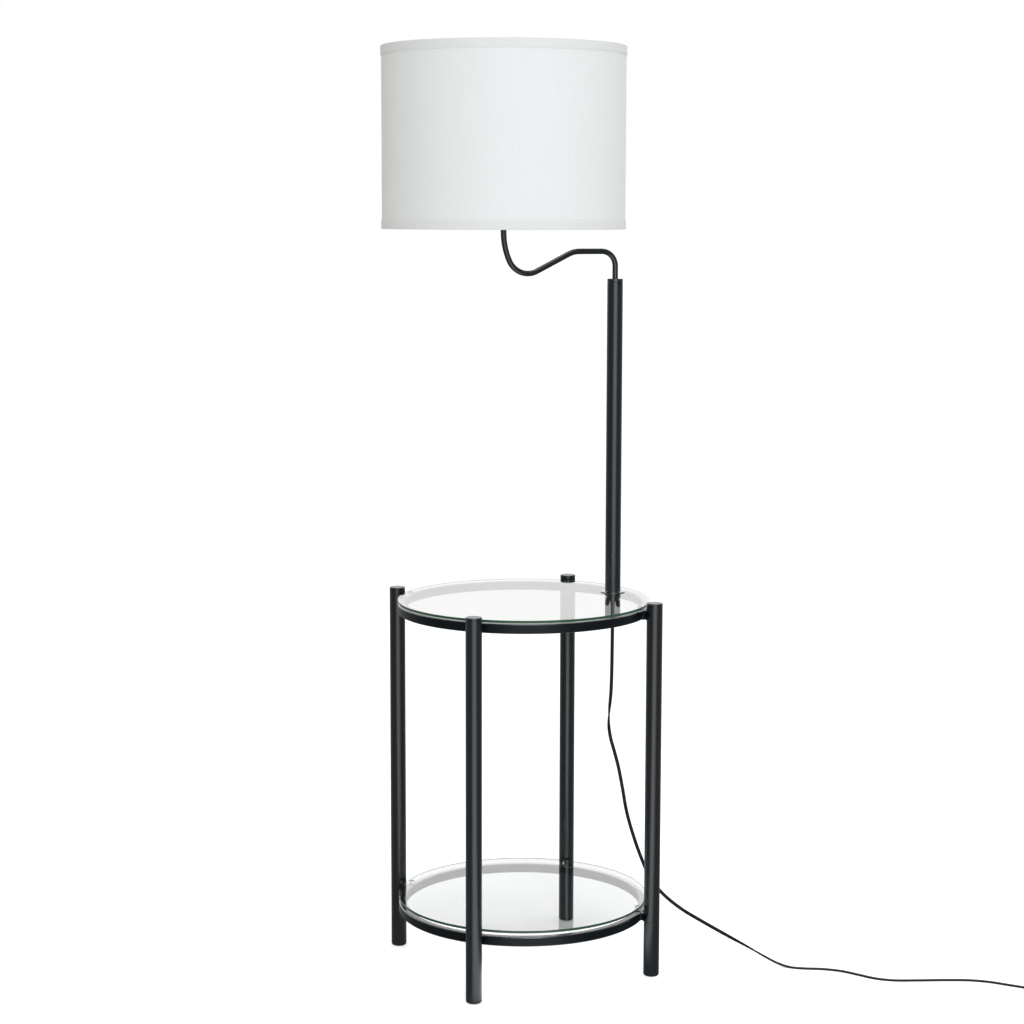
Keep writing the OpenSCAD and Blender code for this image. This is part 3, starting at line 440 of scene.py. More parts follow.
def new_group(
    name: str, values: dict[str, float], results: tuple[str, ...]
) -> tuple[Tree, object, Node]:
    """Starts a shader node group that takes a Vector and numbers, and gives numbers.

    Args:
        name: the group's name.
        values: the numbers it takes, and their defaults.
        results: the numbers it gives.

    Returns:
        The group, what it is given, and the node that takes its results.
    """
    group = bpy.data.node_groups.new(name, "ShaderNodeTree")
    sockets = group.interface
    sockets.new_socket(name="Vector", in_out="INPUT", socket_type="NodeSocketVector")
    for label, value in values.items():
        socket = sockets.new_socket(name=label, in_out="INPUT", socket_type="NodeSocketFloat")
        socket.default_value = value
    for label in results:
        sockets.new_socket(name=label, in_out="OUTPUT", socket_type="NodeSocketFloat")
    given = group.nodes.new("NodeGroupInput").outputs
    return group, given, group.nodes.new("NodeGroupOutput")


CLOUDS = (9.0, 3.0, 0.55)
BLOTCHES = (38.0, 4.0, 0.6)
SLUB_STRETCH = 0.02
SLUB_UPRIGHT = 1.3
SLUB_LEVEL = 0.6
SLUB_TINT = 0.25


def patina_group() -> Tree:
    """Slow variation and fine grain of a hard surface.

    Tone wanders about 1 by Drift with clouds of the size of a hand, Rough adds Smudge where the
    surface has been handled, and Height is the fine peel of a sprayed or moulded skin.
    """
    values = {"Grain Scale": 900.0, "Drift": 0.06, "Smudge": 0.08, "Base Rough": 0.4}
    g, given, out = new_group("patina", values, ("Tone", "Rough", "Height"))
    clouds = noise(g, given["Vector"], *CLOUDS)
    blotch = noise(g, given["Vector"], *BLOTCHES)
    swing = calc(g, "MULTIPLY", calc(g, "SUBTRACT", clouds, 0.5), given["Drift"])
    touched = calc(g, "MULTIPLY", calc(g, "SUBTRACT", blotch, 0.5), given["Smudge"])
    results = {
        "Tone": calc(g, "ADD", swing, 1.0),
        "Rough": calc(g, "ADD", touched, given["Base Rough"]),
        "Height": noise(g, given["Vector"], given["Grain Scale"]),
    }
    wire(g, out, results)
    return g


def weave_group() -> Tree:
    """A plain weave with slubs, on UVs in metres.

    Warp and weft threads are rounded ridges, the size of the sine of the place across them. A
    thread shows on top where the sum of their two counts is even. Slubs are noise drawn out along
    each thread, more along the upright ones, which makes some threads thicker and paler.
    """
    g, given, out = new_group("weave", {"Threads": 900.0, "Slub": 0.5}, ("Height", "Tone"))
    parts = add(g, "ShaderNodeSeparateXYZ", {0: given["Vector"]})
    place = [calc(g, "MULTIPLY", parts.outputs[axis], given["Threads"]) for axis in (0, 1)]
    ridges = [calc(g, "ABSOLUTE", calc(g, "SINE", calc(g, "MULTIPLY", c, math.pi))) for c in place]
    cells = [calc(g, "FLOOR", c) for c in place]
    odd = calc(g, "ABSOLUTE", calc(g, "MODULO", calc(g, "ADD", *cells), 2.0))
    over = add(g, "ShaderNodeMix", {"Factor": odd, 2: ridges[0], 3: ridges[1]}, data_type="FLOAT")
    slubs = []
    ways = (1.0, SLUB_STRETCH, 1.0), (SLUB_STRETCH, 1.0, 1.0)
    for stretch, strength in zip(ways, (SLUB_UPRIGHT, SLUB_LEVEL)):
        drawn = vector(g, "MULTIPLY", given["Vector"], stretch).outputs[0]
        slubs.append(calc(g, "MULTIPLY", noise(g, drawn, given["Threads"], 2.0, 0.6), strength))
    slub = calc(g, "SUBTRACT", calc(g, "ADD", *slubs), (SLUB_UPRIGHT + SLUB_LEVEL) / 2)
    weight = calc(g, "MULTIPLY", slub, given["Slub"])
    tone = calc(g, "ADD", calc(g, "MULTIPLY", weight, SLUB_TINT), 1.0)
    wire(g, out, {"Height": calc(g, "ADD", over.outputs[0], weight), "Tone": tone})
    return g


# ---------------------------------------------------------------- finishes


@dataclass(frozen=True)
class Finish:
    """What every finish has: a name, a colour, and the start and the bump of its material."""

    name: str
    colour: Triple

    def start(self) -> tuple[Material, Tree, Node]:
        """The new material, its nodes and its shader."""
        mat = bpy.data.materials.new(self.name)
        mat.use_nodes = True
        return mat, mat.node_tree, mat.node_tree.nodes["Principled BSDF"]

    def tinted(self, tree: Tree, tone: Socket) -> Socket:
        """The finish's colour, scaled by a tone."""
        inputs = {0: self.colour, "Scale": tone}
        return add(tree, "ShaderNodeVectorMath", inputs, operation="SCALE").outputs[0]

    def bumped(self, tree: Tree, height: Socket, strength: float, depth: float) -> Socket:
        """The normal that a height gives, with its depth in metres."""
        inputs = {"Strength": strength, "Distance": depth, "Height": height}
        return add(tree, "ShaderNodeBump", inputs).outputs[0]


@dataclass(frozen=True)
class HardFinish(Finish):
    """A painted, plated or moulded finish."""

    rough: float
    metal: float = 0.0
    specular: float = 0.5
    drift: float = 0.06
    smudge: float = 0.08
    grain: float = 900.0
    bump: float = 0.0
    peel_depth: float = 0.0001
    coat: float = 0.0

    def material(self, groups: dict[str, Tree]) -> Material:
        """Builds the finish.

        Args:
            groups: the shared shader groups.

        Returns:
            The material: base colour and roughness vary with the patina, whose grain is its bump.
        """
        mat, tree, shader = self.start()
        mat.diffuse_color = (*self.colour, 1.0)
        inputs = {
            "Vector": add(tree, "ShaderNodeTexCoord").outputs["Object"],
            "Grain Scale": self.grain,
            "Drift": self.drift,
            "Smudge": self.smudge,
            "Base Rough": self.rough,
        }
        patina = add(tree, "ShaderNodeGroup", inputs, node_tree=groups["patina"]).outputs
        inputs = {
            "Metallic": self.metal,
            "Specular IOR Level": self.specular,
            "Coat Weight": self.coat,
            "Base Color": self.tinted(tree, patina["Tone"]),
            "Roughness": patina["Rough"],
        }
        wire(tree, shader, inputs)
        if self.bump:
            normal = self.bumped(tree, patina["Height"], self.bump, self.peel_depth)
            wire(tree, shader, {"Normal": normal})
        return mat


@dataclass(frozen=True)
class ClearFinish(Finish):
    """Glass, or clear soft plastic."""

    rough: float
    ior: float = 1.5
    smear: float = 0.0

    def material(self, groups: dict[str, Tree]) -> Material:
        """Builds the finish: full transmission, and a faint unevenness in its roughness."""
        mat, tree, shader = self.start()
        rough = self.rough
        if self.smear:
            place = add(tree, "ShaderNodeTexCoord").outputs["Object"]
            inputs = {"Vector": place, "Base Rough": self.rough, "Smudge": self.smear}
            patina = add(tree, "ShaderNodeGroup", inputs, node_tree=groups["patina"])
            rough = patina.outputs["Rough"]
        wire(tree, shader, {"Base Color": (*self.colour, 1.0), "Roughness": rough})
        wire(tree, shader, {"IOR": self.ior, "Transmission Weight": 1.0})
        return mat


@dataclass(frozen=True)
class ClothFinish(Finish):
    """Woven cloth on UVs in metres."""

    threads: float
    slub: float
    bump: float
    thread_depth: float = 0.0004
    rough: float = 0.9
    specular: float = 0.2
    sheen: float = 0.15

    def material(self, groups: dict[str, Tree]) -> Material:
        """Builds the finish: the weave's height is its bump, and its slubs shade the colour."""
        mat, tree, shader = self.start()
        place = add(tree, "ShaderNodeUVMap", uv_map="surface").outputs[0]
        inputs = {"Vector": place, "Threads": self.threads, "Slub": self.slub}
        weave = add(tree, "ShaderNodeGroup", inputs, node_tree=groups["weave"]).outputs
        inputs = {
            "Roughness": self.rough,
            "Specular IOR Level": self.specular,
            "Sheen Weight": self.sheen,
            "Base Color": self.tinted(tree, weave["Tone"]),
            "Normal": self.bumped(tree, weave["Height"], self.bump, self.thread_depth),
        }
        wire(tree, shader, inputs)
        return mat


class Slot(Enum):
    """The record's material slots."""

    PAINT = "black_paint"
    GLASS = "clear_glass"
    PAD = "clear_pad"
    STEEL = "zinc_steel"
    BRASS = "brass_metal"
    PLASTIC = "black_plastic"
    SHEATH = "cord_sheath"
    SWITCH = "switch_plastic"
    BULB = "bulb_glass"
    LINEN = "shade_fabric"
    TAPE = "hem_tape"


BLACK = (0.0060, 0.0090, 0.0115)
# A darker black than the paint's, for the rings' upright faces only: painted shade.
SHADED_RING_BLACK = (0.0040, 0.0062, 0.0080)
FINISHES: dict[Slot, Finish] = {
    Slot.PAINT: HardFinish("satin_black_paint", BLACK, 0.27, smudge=0.03, bump=0.03, grain=1400.0),
    Slot.GLASS: ClearFinish("clear_table_glass", (1.0, 1.0, 1.0), 0.0),
    Slot.PAD: ClearFinish("clear_soft_pad", (0.96, 0.97, 0.97), 0.25, 1.42, 0.1),
    Slot.STEEL: HardFinish(
        "zinc_plated_steel", (0.60, 0.61, 0.62), 0.32, 1.0, smudge=0.14, bump=0.05
    ),
    Slot.BRASS: HardFinish("plain_brass", (0.72, 0.54, 0.26), 0.28, 1.0, smudge=0.12),
    Slot.PLASTIC: HardFinish(
        "black_moulding", (0.013, 0.014, 0.015), 0.48, specular=0.3, bump=0.22, grain=2200.0
    ),
    Slot.SHEATH: HardFinish(
        "black_cord_sheath", (0.009, 0.011, 0.012), 0.42, specular=0.12, bump=0.12, grain=1800.0
    ),
    Slot.SWITCH: HardFinish("switch_moulding", (0.68, 0.60, 0.46), 0.5, bump=0.15),
    Slot.BULB: HardFinish("frosted_bulb", (0.86, 0.86, 0.84), 0.35, coat=0.3, drift=0.02),
    Slot.LINEN: ClothFinish("natural_white_linen", (0.786, 0.782, 0.773), 1100.0, 0.32, 0.22),
    Slot.TAPE: ClothFinish("white_hem_tape", (0.733, 0.729, 0.718), 1600.0, 0.15, 0.12),
}
GLASS_EDGE = HardFinish("green_glass_edge", (0.032, 0.080, 0.046), 0.18, specular=0.2, drift=0.1)
# A darker, less shiny copy of the black paint, put on the rings' upright faces only: painted shade.
RING_SIDE_SHADE = HardFinish(
    "shaded_ring_paint", SHADED_RING_BLACK, 0.36, specular=0.12, smudge=0.03, bump=0.04, grain=1400.0
)
RING_TOP = HardFinish("glossy_ring_paint", BLACK, 0.12, smudge=0.03, bump=0.02, coat=1.0)


class Wardrobe:
    """Every finish, built once, and the calls that put one on a piece or on a solid."""

    def __init__(self) -> None:
        """Builds the shared groups and all the finishes."""
        groups = {"patina": patina_group(), "weave": weave_group()}
        self.materials = {slot: finish.material(groups) for slot, finish in FINISHES.items()}
        self.glass_edge = GLASS_EDGE.material(groups)
        self.shaded_ring_side = RING_SIDE_SHADE.material(groups)
        self.ring_top = RING_TOP.material(groups)

    def make(
        self,
        name: str,
        skin: Surface,
        *nodes: str,
        slot: Slot = Slot.PAINT,
        body: Body = Body.TABLE,
        sharp: float = 40.0,
    ) -> Thing:
        """Builds a piece, gives it its finish and its body, and hides the solids that it stands
        for.

        Args:
            name: the piece's name.
            skin: its surface.
            nodes: the solids that it replaces.
            slot: its finish.
            body: the group that it rides on.
            sharp: the least angle at which an edge is drawn sharp.

        Returns:
            The piece.
        """
        piece = build_piece(name, skin, sharp)
        piece.data.materials.append(self.materials[slot])
        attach(piece, body.value)
        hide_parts(*nodes)
        faces = len(piece.data.polygons)
        log.info("%s: %d faces, %s, rides on %s", name, faces, slot.value, body.value)
        return piece

    def dress_solid(self, solid: Thing, slot: Slot) -> None:
        """Gives a solid of the frame its finish, on its object's own slots."""
        if not solid.material_slots:
            solid.data.materials.append(self.materials[slot])
        for holder in solid.material_slots:
            holder.link = "OBJECT"
            holder.material = self.materials[slot]


@dataclass(frozen=True)
class Layout:
    """Where the legs, the pole and the shade stand, for every class below."""

    leg_circle_r: float = 221.0
    leg_r: float = 12.7
    bearings: tuple[float, ...] = (70.0, 160.0, 250.0, 340.0)
    pole_at: Pair = polar(162.0, 25.0)
    pole_r: float = 12.7
    arm_r: float = 4.6
    shade_at: Pair = (-32.6271, -15.2143)


LAYOUT = Layout()


# ---------------------------------------------------------------- the table


@dataclass
class Legs:
    """Four legs, each a foot section, a long tube and a stub that screw together."""

    wardrobe: Wardrobe
    wall: float = 1.2
    pad_h: float = 5.0
    seams: Pair = (90.0, 580.0)
    stub_top: float = 604.5
    cap_h: float = 4.5
    edge: float = 0.35
    cap_round: float = 0.9
    pad_round: float = 3.9
    lip_round: float = 0.3
    spigot: Triple = (1.3, 9.0, 0.5)

    def tubes(self) -> None:
        """Three tubes to a leg, whose rounded ends meet in the fine grooves of the seams."""
        levels = (self.pad_h, *self.seams, self.stub_top)
        for number, bearing in enumerate(LAYOUT.bearings, 1):
            for kind, low, high in zip(("foot_tube", "leg_tube", "leg_stub"), levels, levels[1:]):
                outline = tube_outline(LAYOUT.leg_r, self.wall, low, high, self.edge)
                skin = revolved(outline, polar(LAYOUT.leg_circle_r, bearing), 64)
                node = f"{kind}_{number}"
                self.wardrobe.make(f"painted_{node}", skin, node, sharp=50)

    def stoppers(
        self, name: str, slot: Slot, node: str, outer: Pair, seat: float, steps: int
    ) -> None:
        """Four discs that close the legs' ends, each with a spigot in its tube.

        Args:
            name: the piece's name.
            slot: its finish.
            node: the solid that it replaces.
            outer: the height of the outer face and the radius of its rim.
            seat: the height of the tube's end.
            steps: the number of facets in each round.
        """
        r, (inset, depth, end_round) = LAYOUT.leg_r, self.spigot
        (face, rim), deep = outer, seat + math.copysign(depth, seat - outer[0])
        corners = [(0, face, 0), (r, face, rim), (r, seat, self.lip_round), (r - inset, seat, 0)]
        outline = filleted([*corners, (r - inset, deep, end_round), (0, deep, 0)], steps)
        places = [polar(LAYOUT.leg_circle_r, b) for b in LAYOUT.bearings]
        skin = Surface.union([revolved(outline, place, 72, closed=False) for place in places])
        self.wardrobe.make(name, skin, node, slot=slot)

    def build(self) -> None:
        """Makes the legs, their flat caps and their moulded feet."""
        self.tubes()
        cap = (self.stub_top + self.cap_h, self.cap_round)
        self.stoppers("leg_cap_discs", Slot.PAINT, "leg_caps", cap, self.stub_top, 5)
        foot = (0.0, self.pad_round)
        self.stoppers("foot_pad_set", Slot.PLASTIC, "foot_pads", foot, self.pad_h, 7)


@dataclass
class Rings:
    """The two tube rings with the tabs that are welded to the legs."""

    wardrobe: Wardrobe
    outer_r: float = 202.8
    width: float = 12.0
    height: float = 15.5
    corner: float = 2.5
    tab_w: float = 9.0
    tab_drop: float = 1.0
    tab_round: float = 0.7
    tab_root: float = 1.2
    tab_gap: float = 0.02
    tab_flare: float = 0.8
    bead_out: Pair = (0.3, 0.1)
    bead_r: float = 0.75
    bead_swell: float = 0.2
    bead_wave: float = 3.1
    upright: float = 0.34
    levels: tuple[tuple[str, float, float], ...] = (
        ("top_ring", 581.7, 582.0),
        ("shelf_ring", 87.6, 90.3),
    )

    def tab(self, low: float, high: float, bearing: float) -> Surface:
        """A flat tab with rounded edges, from the ring's side into the leg's.

        Its section is a rounded rectangle carried outwards along the bearing; its outer end is cut
        to the leg's round by moving each point in by the leg's sagitta at its own width.
        """
        half_w, half_h = self.tab_w / 2, (high - low) / 2
        y, h = braced(rounded_box(half_w, half_h, self.tab_round, 3), True).T
        share = np.linspace(0, 1, 5)[:, None]
        start = self.outer_r - self.tab_root
        end = LAYOUT.leg_circle_r - np.sqrt((LAYOUT.leg_r + self.tab_gap) ** 2 - y**2)
        x = start + share * (end - start)
        flare = self.tab_flare * (2 * share - 1) ** 8
        z = (low + high) / 2 + h * (1 + flare / half_h)
        return lofted(np.stack([x, y * (1 + flare / half_w), z + 0 * x], axis=2)).moved(bearing)

    def weld(self, low: float, high: float, bearing: float) -> Surface:
        """The bead where a tab meets the ring: a fine rope of metal round the tab's root.

        Its radius swells and shrinks by a fifth as the torch moved, along a rounded rectangle.
        """
        out_w, out_h = self.bead_out
        loop = rounded_box(self.tab_w / 2 + out_w, (high - low) / 2 + out_h, self.tab_root, 6)
        s = along(loop, True)
        fine = np.linspace(0, s[-1], 90, endpoint=False)
        y, h = (np.interp(fine, s, line) for line in np.concatenate([loop, loop[:1]]).T)
        path = np.stack([np.full_like(y, self.outer_r + out_h), y, (low + high) / 2 + h], axis=1)
        way = unit(np.roll(path, -1, axis=0) - np.roll(path, 1, axis=0))
        out = np.tile([1.0, 0.0, 0.0], (len(path), 1))
        swell = self.bead_r * (1 + self.bead_swell * np.sin(fine * self.bead_wave))[:, None]
        rings = swept(path, out * swell, np.cross(way, out) * swell, circle(8))
        return lofted(rings, capped=False, closed=True).moved(bearing)

    def build(self) -> None:
        """Makes both rings. Their upright faces take a darker, duller copy of the black paint,
        which is painted shade, and the faces that look up take a glossier copy."""
        for node, z, tab_z in self.levels:
            sides = ((self.outer_r, z), (self.outer_r, z + self.height))
            inner = self.outer_r - self.width
            corners = [(*p, self.corner) for p in (*sides, (inner, z + self.height), (inner, z))]
            skin = revolved(filleted(corners, 7, closed=True), (0.0, 0.0), 256)
            span = tab_z, z + self.height - self.tab_drop
            extras = [make(*span, b) for b in LAYOUT.bearings for make in (self.tab, self.weld)]
            skin = Surface.union([skin, *extras])
            piece = self.wardrobe.make(f"painted_{node}", skin, node, sharp=50)
            # Faces are sorted by the way they look. Upright ones get the darker copy, which is
            # painted shade, upward ones get the glossy copy, and the rest keep the plain paint.
            rise = face_vectors(piece, "normal")[:, 2]
            index = np.select([np.abs(rise) < self.upright, rise > 0], [1, 2], 0)
            paint_faces(piece, [self.wardrobe.shaded_ring_side, self.wardrobe.ring_top], index)


@dataclass
class GlassTiers:
    """The two glass discs with their ground edges, and the clear pads that they rest on."""

    wardrobe: Wardrobe
    radius: float = 203.0
    thick: float = 4.0
    bevel: float = 0.4
    face_inset: float = 4.0
    turns: int = 256
    edge_depth: float = 1.0
    flat_rise: float = 0.95
    upper_z: float = 598.8
    shelf_z: float = 109.5
    hole_r: float = 6.0
    pad_r: float = 4.5
    pad_circle_r: float = 196.8
    pad_stands: tuple[tuple[str, float, float], ...] = (
        ("top_glass_pads", 597.2, 1.6),
        ("shelf_glass_pads", 103.1, 6.4),
    )

    def disc(self, name: str, z: float, hole: bool, node: str) -> None:
        """One disc. Its edge faces have the green of a long look through the glass.

        Each ring of points on the rim, from the top face over both ground bevels to the
        underside, shares its angles with a ring round the hole, or round the middle, so that one
        grid makes the faces, the rim and the hole's wall.

        Args:
            name: the piece's name.
            z: the height of its underside.
            hole: whether the nipple's hole goes through it.
            node: the solid that it replaces.
        """
        ray = circle(self.turns)
        r, b, top = self.radius, self.bevel, z + self.thick
        face, ground = r - self.face_inset, r - b
        upper = [(face, top), (ground, top), (r, top - b)]
        rim = np.array([*upper, (r, z + b), (ground, z), (face, z)])
        levels = np.repeat(rim[:, 1:, None], self.turns, 1)
        edge = np.concatenate([rim[:, :1, None] * ray[None], levels], axis=2)
        lip = np.array(LAYOUT.pole_at) + self.hole_r * ray if hole else 0 * ray
        wall = [np.column_stack([lip, np.full(self.turns, level)])[None] for level in (top, z)]
        grid = np.concatenate([wall[0], edge, wall[1]])
        u, v = np.linspace(0, TAU * r, self.turns + 1), along(grid[:, 0], hole)
        skin = Surface.from_grid(grid, u, v, hole)
        piece = self.wardrobe.make(name, skin, node, slot=Slot.GLASS, sharp=12)
        reach = np.linalg.norm(face_vectors(piece, "center")[:, :2], axis=1) * 1000
        outside = reach > r - self.edge_depth
        steep = np.abs(face_vectors(piece, "normal")[:, 2]) <= self.flat_rise
        paint_faces(piece, [self.wardrobe.glass_edge], outside & steep)

    def pads(self) -> None:
        """Small clear buttons between the rings and the glass, at the legs."""
        r = self.pad_r
        for node, z, h in self.pad_stands:
            outline = filleted([(0, z + h, 0), (r - 0.4, z + h, 0.3), (r, z, 0.1), (0, z, 0)], 4)
            places = [polar(self.pad_circle_r, b) for b in LAYOUT.bearings]
            skin = Surface.union([revolved(outline, place, 40, closed=False) for place in places])
            self.wardrobe.make(f"clear_{node}", skin, node, slot=Slot.PAD)

    def build(self) -> None:
        """Makes the discs and their pads."""
        self.disc("upper_glass_disc", self.upper_z, True, "table_glass")
        self.disc("shelf_glass_disc", self.shelf_z, False, "shelf_glass")
        self.pads()


# ---------------------------------------------------------------- the pole and the arm


@dataclass
class Pole:
    """The pole, its base flange whose rim comes down round the gasket, and the turning cap."""

    wardrobe: Wardrobe
    wall: float = 1.2
    low: float = 605.2
    high: float = 1103.2
    edge: float = 0.5
    flange_r: float = 20.0
    flange_z: Pair = (603.6, 605.2)
    flange_bore: float = 5.05
    sheet_t: float = 0.85
    skirt: float = 0.65
    skirt_w: Pair = (1.8, 1.7)
    rim_h: float = 0.3
    crown_in: float = 3.4
    collar: Pair = (1.2, 0.9)
    cap_z: Pair = (1108.9, 1115.0)
    cap_play: float = 0.05

    def build(self) -> None:
        """Makes the tube, the flange and the cap."""
        at, radius, make = LAYOUT.pole_at, LAYOUT.pole_r, self.wardrobe.make
        tube = revolved(tube_outline(radius, self.wall, self.low, self.high, self.edge), at, 64)
        make("painted_pole", tube, "pole", sharp=50)
        z0, z1 = self.flange_z
        rim_low, crown = z0 - self.skirt, z0 + self.sheet_t
        corners = [
            (self.flange_bore, z0, 0.1),
            (self.flange_r - self.skirt_w[0], z0, 0.1),
            (self.flange_r - self.skirt_w[1], rim_low, 0.1),
            (self.flange_r, rim_low, 0.15),
            (self.flange_r, z0 + self.rim_h, 0.25),
            (self.flange_r - self.crown_in, crown, 1.5),
            (radius + self.collar[0], crown, 0.2),
            (radius + self.collar[1], z1, 0.25),
            (self.flange_bore, z1, 0.1),
        ]
        skin = revolved(filleted(corners, 5, True), at, 96)
        flange = make("painted_base_flange", skin, "base_flange")
        flange.data.materials[0] = self.wardrobe.ring_top
        z0, z1 = self.cap_z
        bore = LAYOUT.arm_r + self.cap_play
        corners = [(bore, z0, 0.1), (radius, z0, 0.8), (radius, z1, 0.9), (bore, z1, 0.15)]
        skin = revolved(filleted(corners, 5, True), at, 72)
        make("painted_swivel_cap", skin, "swivel_cap", body=Body.ARM)


@dataclass
class Hardware:
    """The threaded nipple, the cord's bushing in its end, the wing nut and the friction screw."""

    wardrobe: Wardrobe
    nipple_z: Pair = (586.0, 623.2)
    nipple_r: float = 5.0
    nipple_bore_r: float = 3.6
    nipple_end: float = 0.4
    pitch: float = 1.0
    depth: float = 0.12
    nut_top: float = 596.5
    nut_play: float = 0.05
    hub_h: float = 9.0
    hub_r: Pair = (8.5, 5.7)
    ear_bearing: float = -40.0
    ear_half: Pair = (3.9, 2.4)
    ear_root: float = 0.85
    ear_square: float = 0.7
    ear_line: tuple[Pair, ...] = (
        (5.9, -5.0),
        (8.1, -8.4),
        (10.1, -12.4),
        (11.3, -16.8),
        (11.7, -21.4),
    )
    sleeve: tuple[Triple, ...] = (
        (2.55, 562.5, 0.1),
        (3.05, 562.5, 0.2),
        (3.45, 581.5, 2.0),
        (4.1, 584.5, 0.4),
        (5.0, 584.5, 0.3),
        (5.0, 586.0, 0.3),
        (3.55, 586.0, 0.0),
        (3.55, 592.0, 0.2),
        (2.55, 592.0, 0.1),
    )
    sleeve_side: Pair = (3.0, 584.0)
    groove_count: int = 5
    groove_span: Pair = (565.0, 580.0)
    groove_half: float = 0.12
    screw_z: float = 1105.9
    screw_bearing: float = 300.0
    screw_reach: Pair = (4.9, 12.1)
    screw_r: float = 1.75
    screw_edge: float = 0.3
    screw_point: float = 0.5
    socket: Pair = (0.9, 2.0)

    def nipple(self) -> None:
        """A plain tube whose outside is a rolled thread: a cosine wave of its pitch and depth."""
        (low, high), end = self.nipple_z, self.nipple_end
        z = np.linspace(low + end, high - end, round((high - low) / self.pitch * 6))
        crest = self.nipple_r - self.depth + self.depth * np.cos(TAU * z / self.pitch)
        bore, root = self.nipple_bore_r, self.nipple_r - 3 * self.depth
        thread = np.column_stack([crest, z])
        outline = np.concatenate([[[bore, low], [root, low]], thread, [[root, high], [bore, high]]])
        skin = revolved(outline, LAYOUT.pole_at, 48)
        self.wardrobe.make("black_threaded_nipple", skin, "threaded_nipple", sharp=60)

    def bushing(self) -> None:
        """The moulded bushing: a spigot, a lip and a tapered sleeve with shallow grooves.

        Each groove is a cosine dip in the sleeve's radius, a quarter of a millimetre deep.
        """
        outline = filleted(list(self.sleeve), 4, True)
        side = (outline[:, 0] > self.sleeve_side[0]) & (outline[:, 1] < self.sleeve_side[1])
        first, last = np.flatnonzero(side)[[0, -1]]
        z = np.linspace(outline[first, 1], outline[last, 1], 90)[1:-1]
        radius = np.interp(z, outline[side][:, 1], outline[side][:, 0])
        low, high = self.groove_span
        share = np.clip((z - low) / (high - low), 0, 1)
        dips = self.groove_half * (1 - np.cos(TAU * self.groove_count * share)) * (share < 1)
        grooved = np.column_stack([radius - dips, z])
        outline = np.concatenate([outline[: first + 1], grooved, outline[last:]])
        skin = revolved(outline, LAYOUT.pole_at, 48)
        name, node = "moulded_cord_bushing", "cord_bushing"
        self.wardrobe.make(name, skin, node, slot=Slot.PLASTIC, sharp=50)

    def ear(self, bearing: float) -> Surface:
        """One drooping ear: a rounded bar along its line, thick as a coin and with a round tip.

        The bar's half sizes shrink to nothing over the last half width w, by the square root of
        1 - (1 - u / w)^2 at the distance u from the tip.
        """
        line = curve_through(np.array(self.ear_line), 8)
        way = unit(np.gradient(line, axis=0))
        left = along(line)[-1] - along(line)
        half_w, half_t = self.ear_half
        root = self.ear_root + (1 - self.ear_root) * smooth(np.linspace(0, 3, len(line)))
        size = np.sqrt(1 - (1 - np.clip(left / half_w, 0.001, 1)) ** 2) * root
        x, y = circle(32).T
        outline = np.column_stack([half_w * x, half_t * signed_power(y, self.ear_square)])
        zero = np.zeros(len(line))
        path = np.column_stack([line[:, 0], zero, self.nut_top + line[:, 1]])
        across = np.column_stack([-way[:, 1], zero, way[:, 0]]) * size[:, None]
        through = np.column_stack([zero, size, zero])
        return lofted(swept(path, across, through, outline)).moved(bearing, (*LAYOUT.pole_at, 0.0))

    def nut(self) -> None:
        """The cast wing nut: a hub that narrows downwards, and its two ears."""
        top, low = self.nut_top, self.nut_top - self.hub_h
        bore, (wide, narrow) = self.nipple_r + self.nut_play, self.hub_r
        corners = [(bore, top, 0.2), (wide, top, 0.6), (narrow, low, 0.5), (bore, low, 0.1)]
        hub = revolved(filleted(corners, 4, True), LAYOUT.pole_at, 64)
        skin = Surface.union([hub, self.ear(self.ear_bearing), self.ear(self.ear_bearing + 180)])
        self.wardrobe.make("cast_wing_nut", skin, "wing_nut", sharp=50)

    def screw(self) -> None:
        """The screw, along its bearing, with a six-sided socket sunk in its outer end."""
        (start, end), (socket_r, depth) = self.screw_reach, self.socket
        r, edge, point = self.screw_r, self.screw_edge, self.screw_point
        a = round_angles(36)
        six = 1 / np.cos(np.mod(a, math.pi / 3) - math.pi / 6)
        reach = np.array([start, start + point, end - edge, end, end, end - depth])
        radii = np.array([r - point, r, r, r - edge, socket_r, socket_r])[:, None]
        radii = radii * np.where(np.arange(6)[:, None] < 4, 1.0, six[None])
        x, y, z = reach[:, None] + 0 * radii, radii * np.cos(a), self.screw_z + radii * np.sin(a)
        skin = lofted(np.stack([x, y, z], axis=2)).moved(self.screw_bearing, (*LAYOUT.pole_at, 0.0))
        self.wardrobe.make("socket_set_screw", skin, "friction_screw", sharp=30)

    def build(self) -> None:
        """Makes the small hardware."""
        self.nipple()
        self.bushing()
        self.nut()
        self.screw()


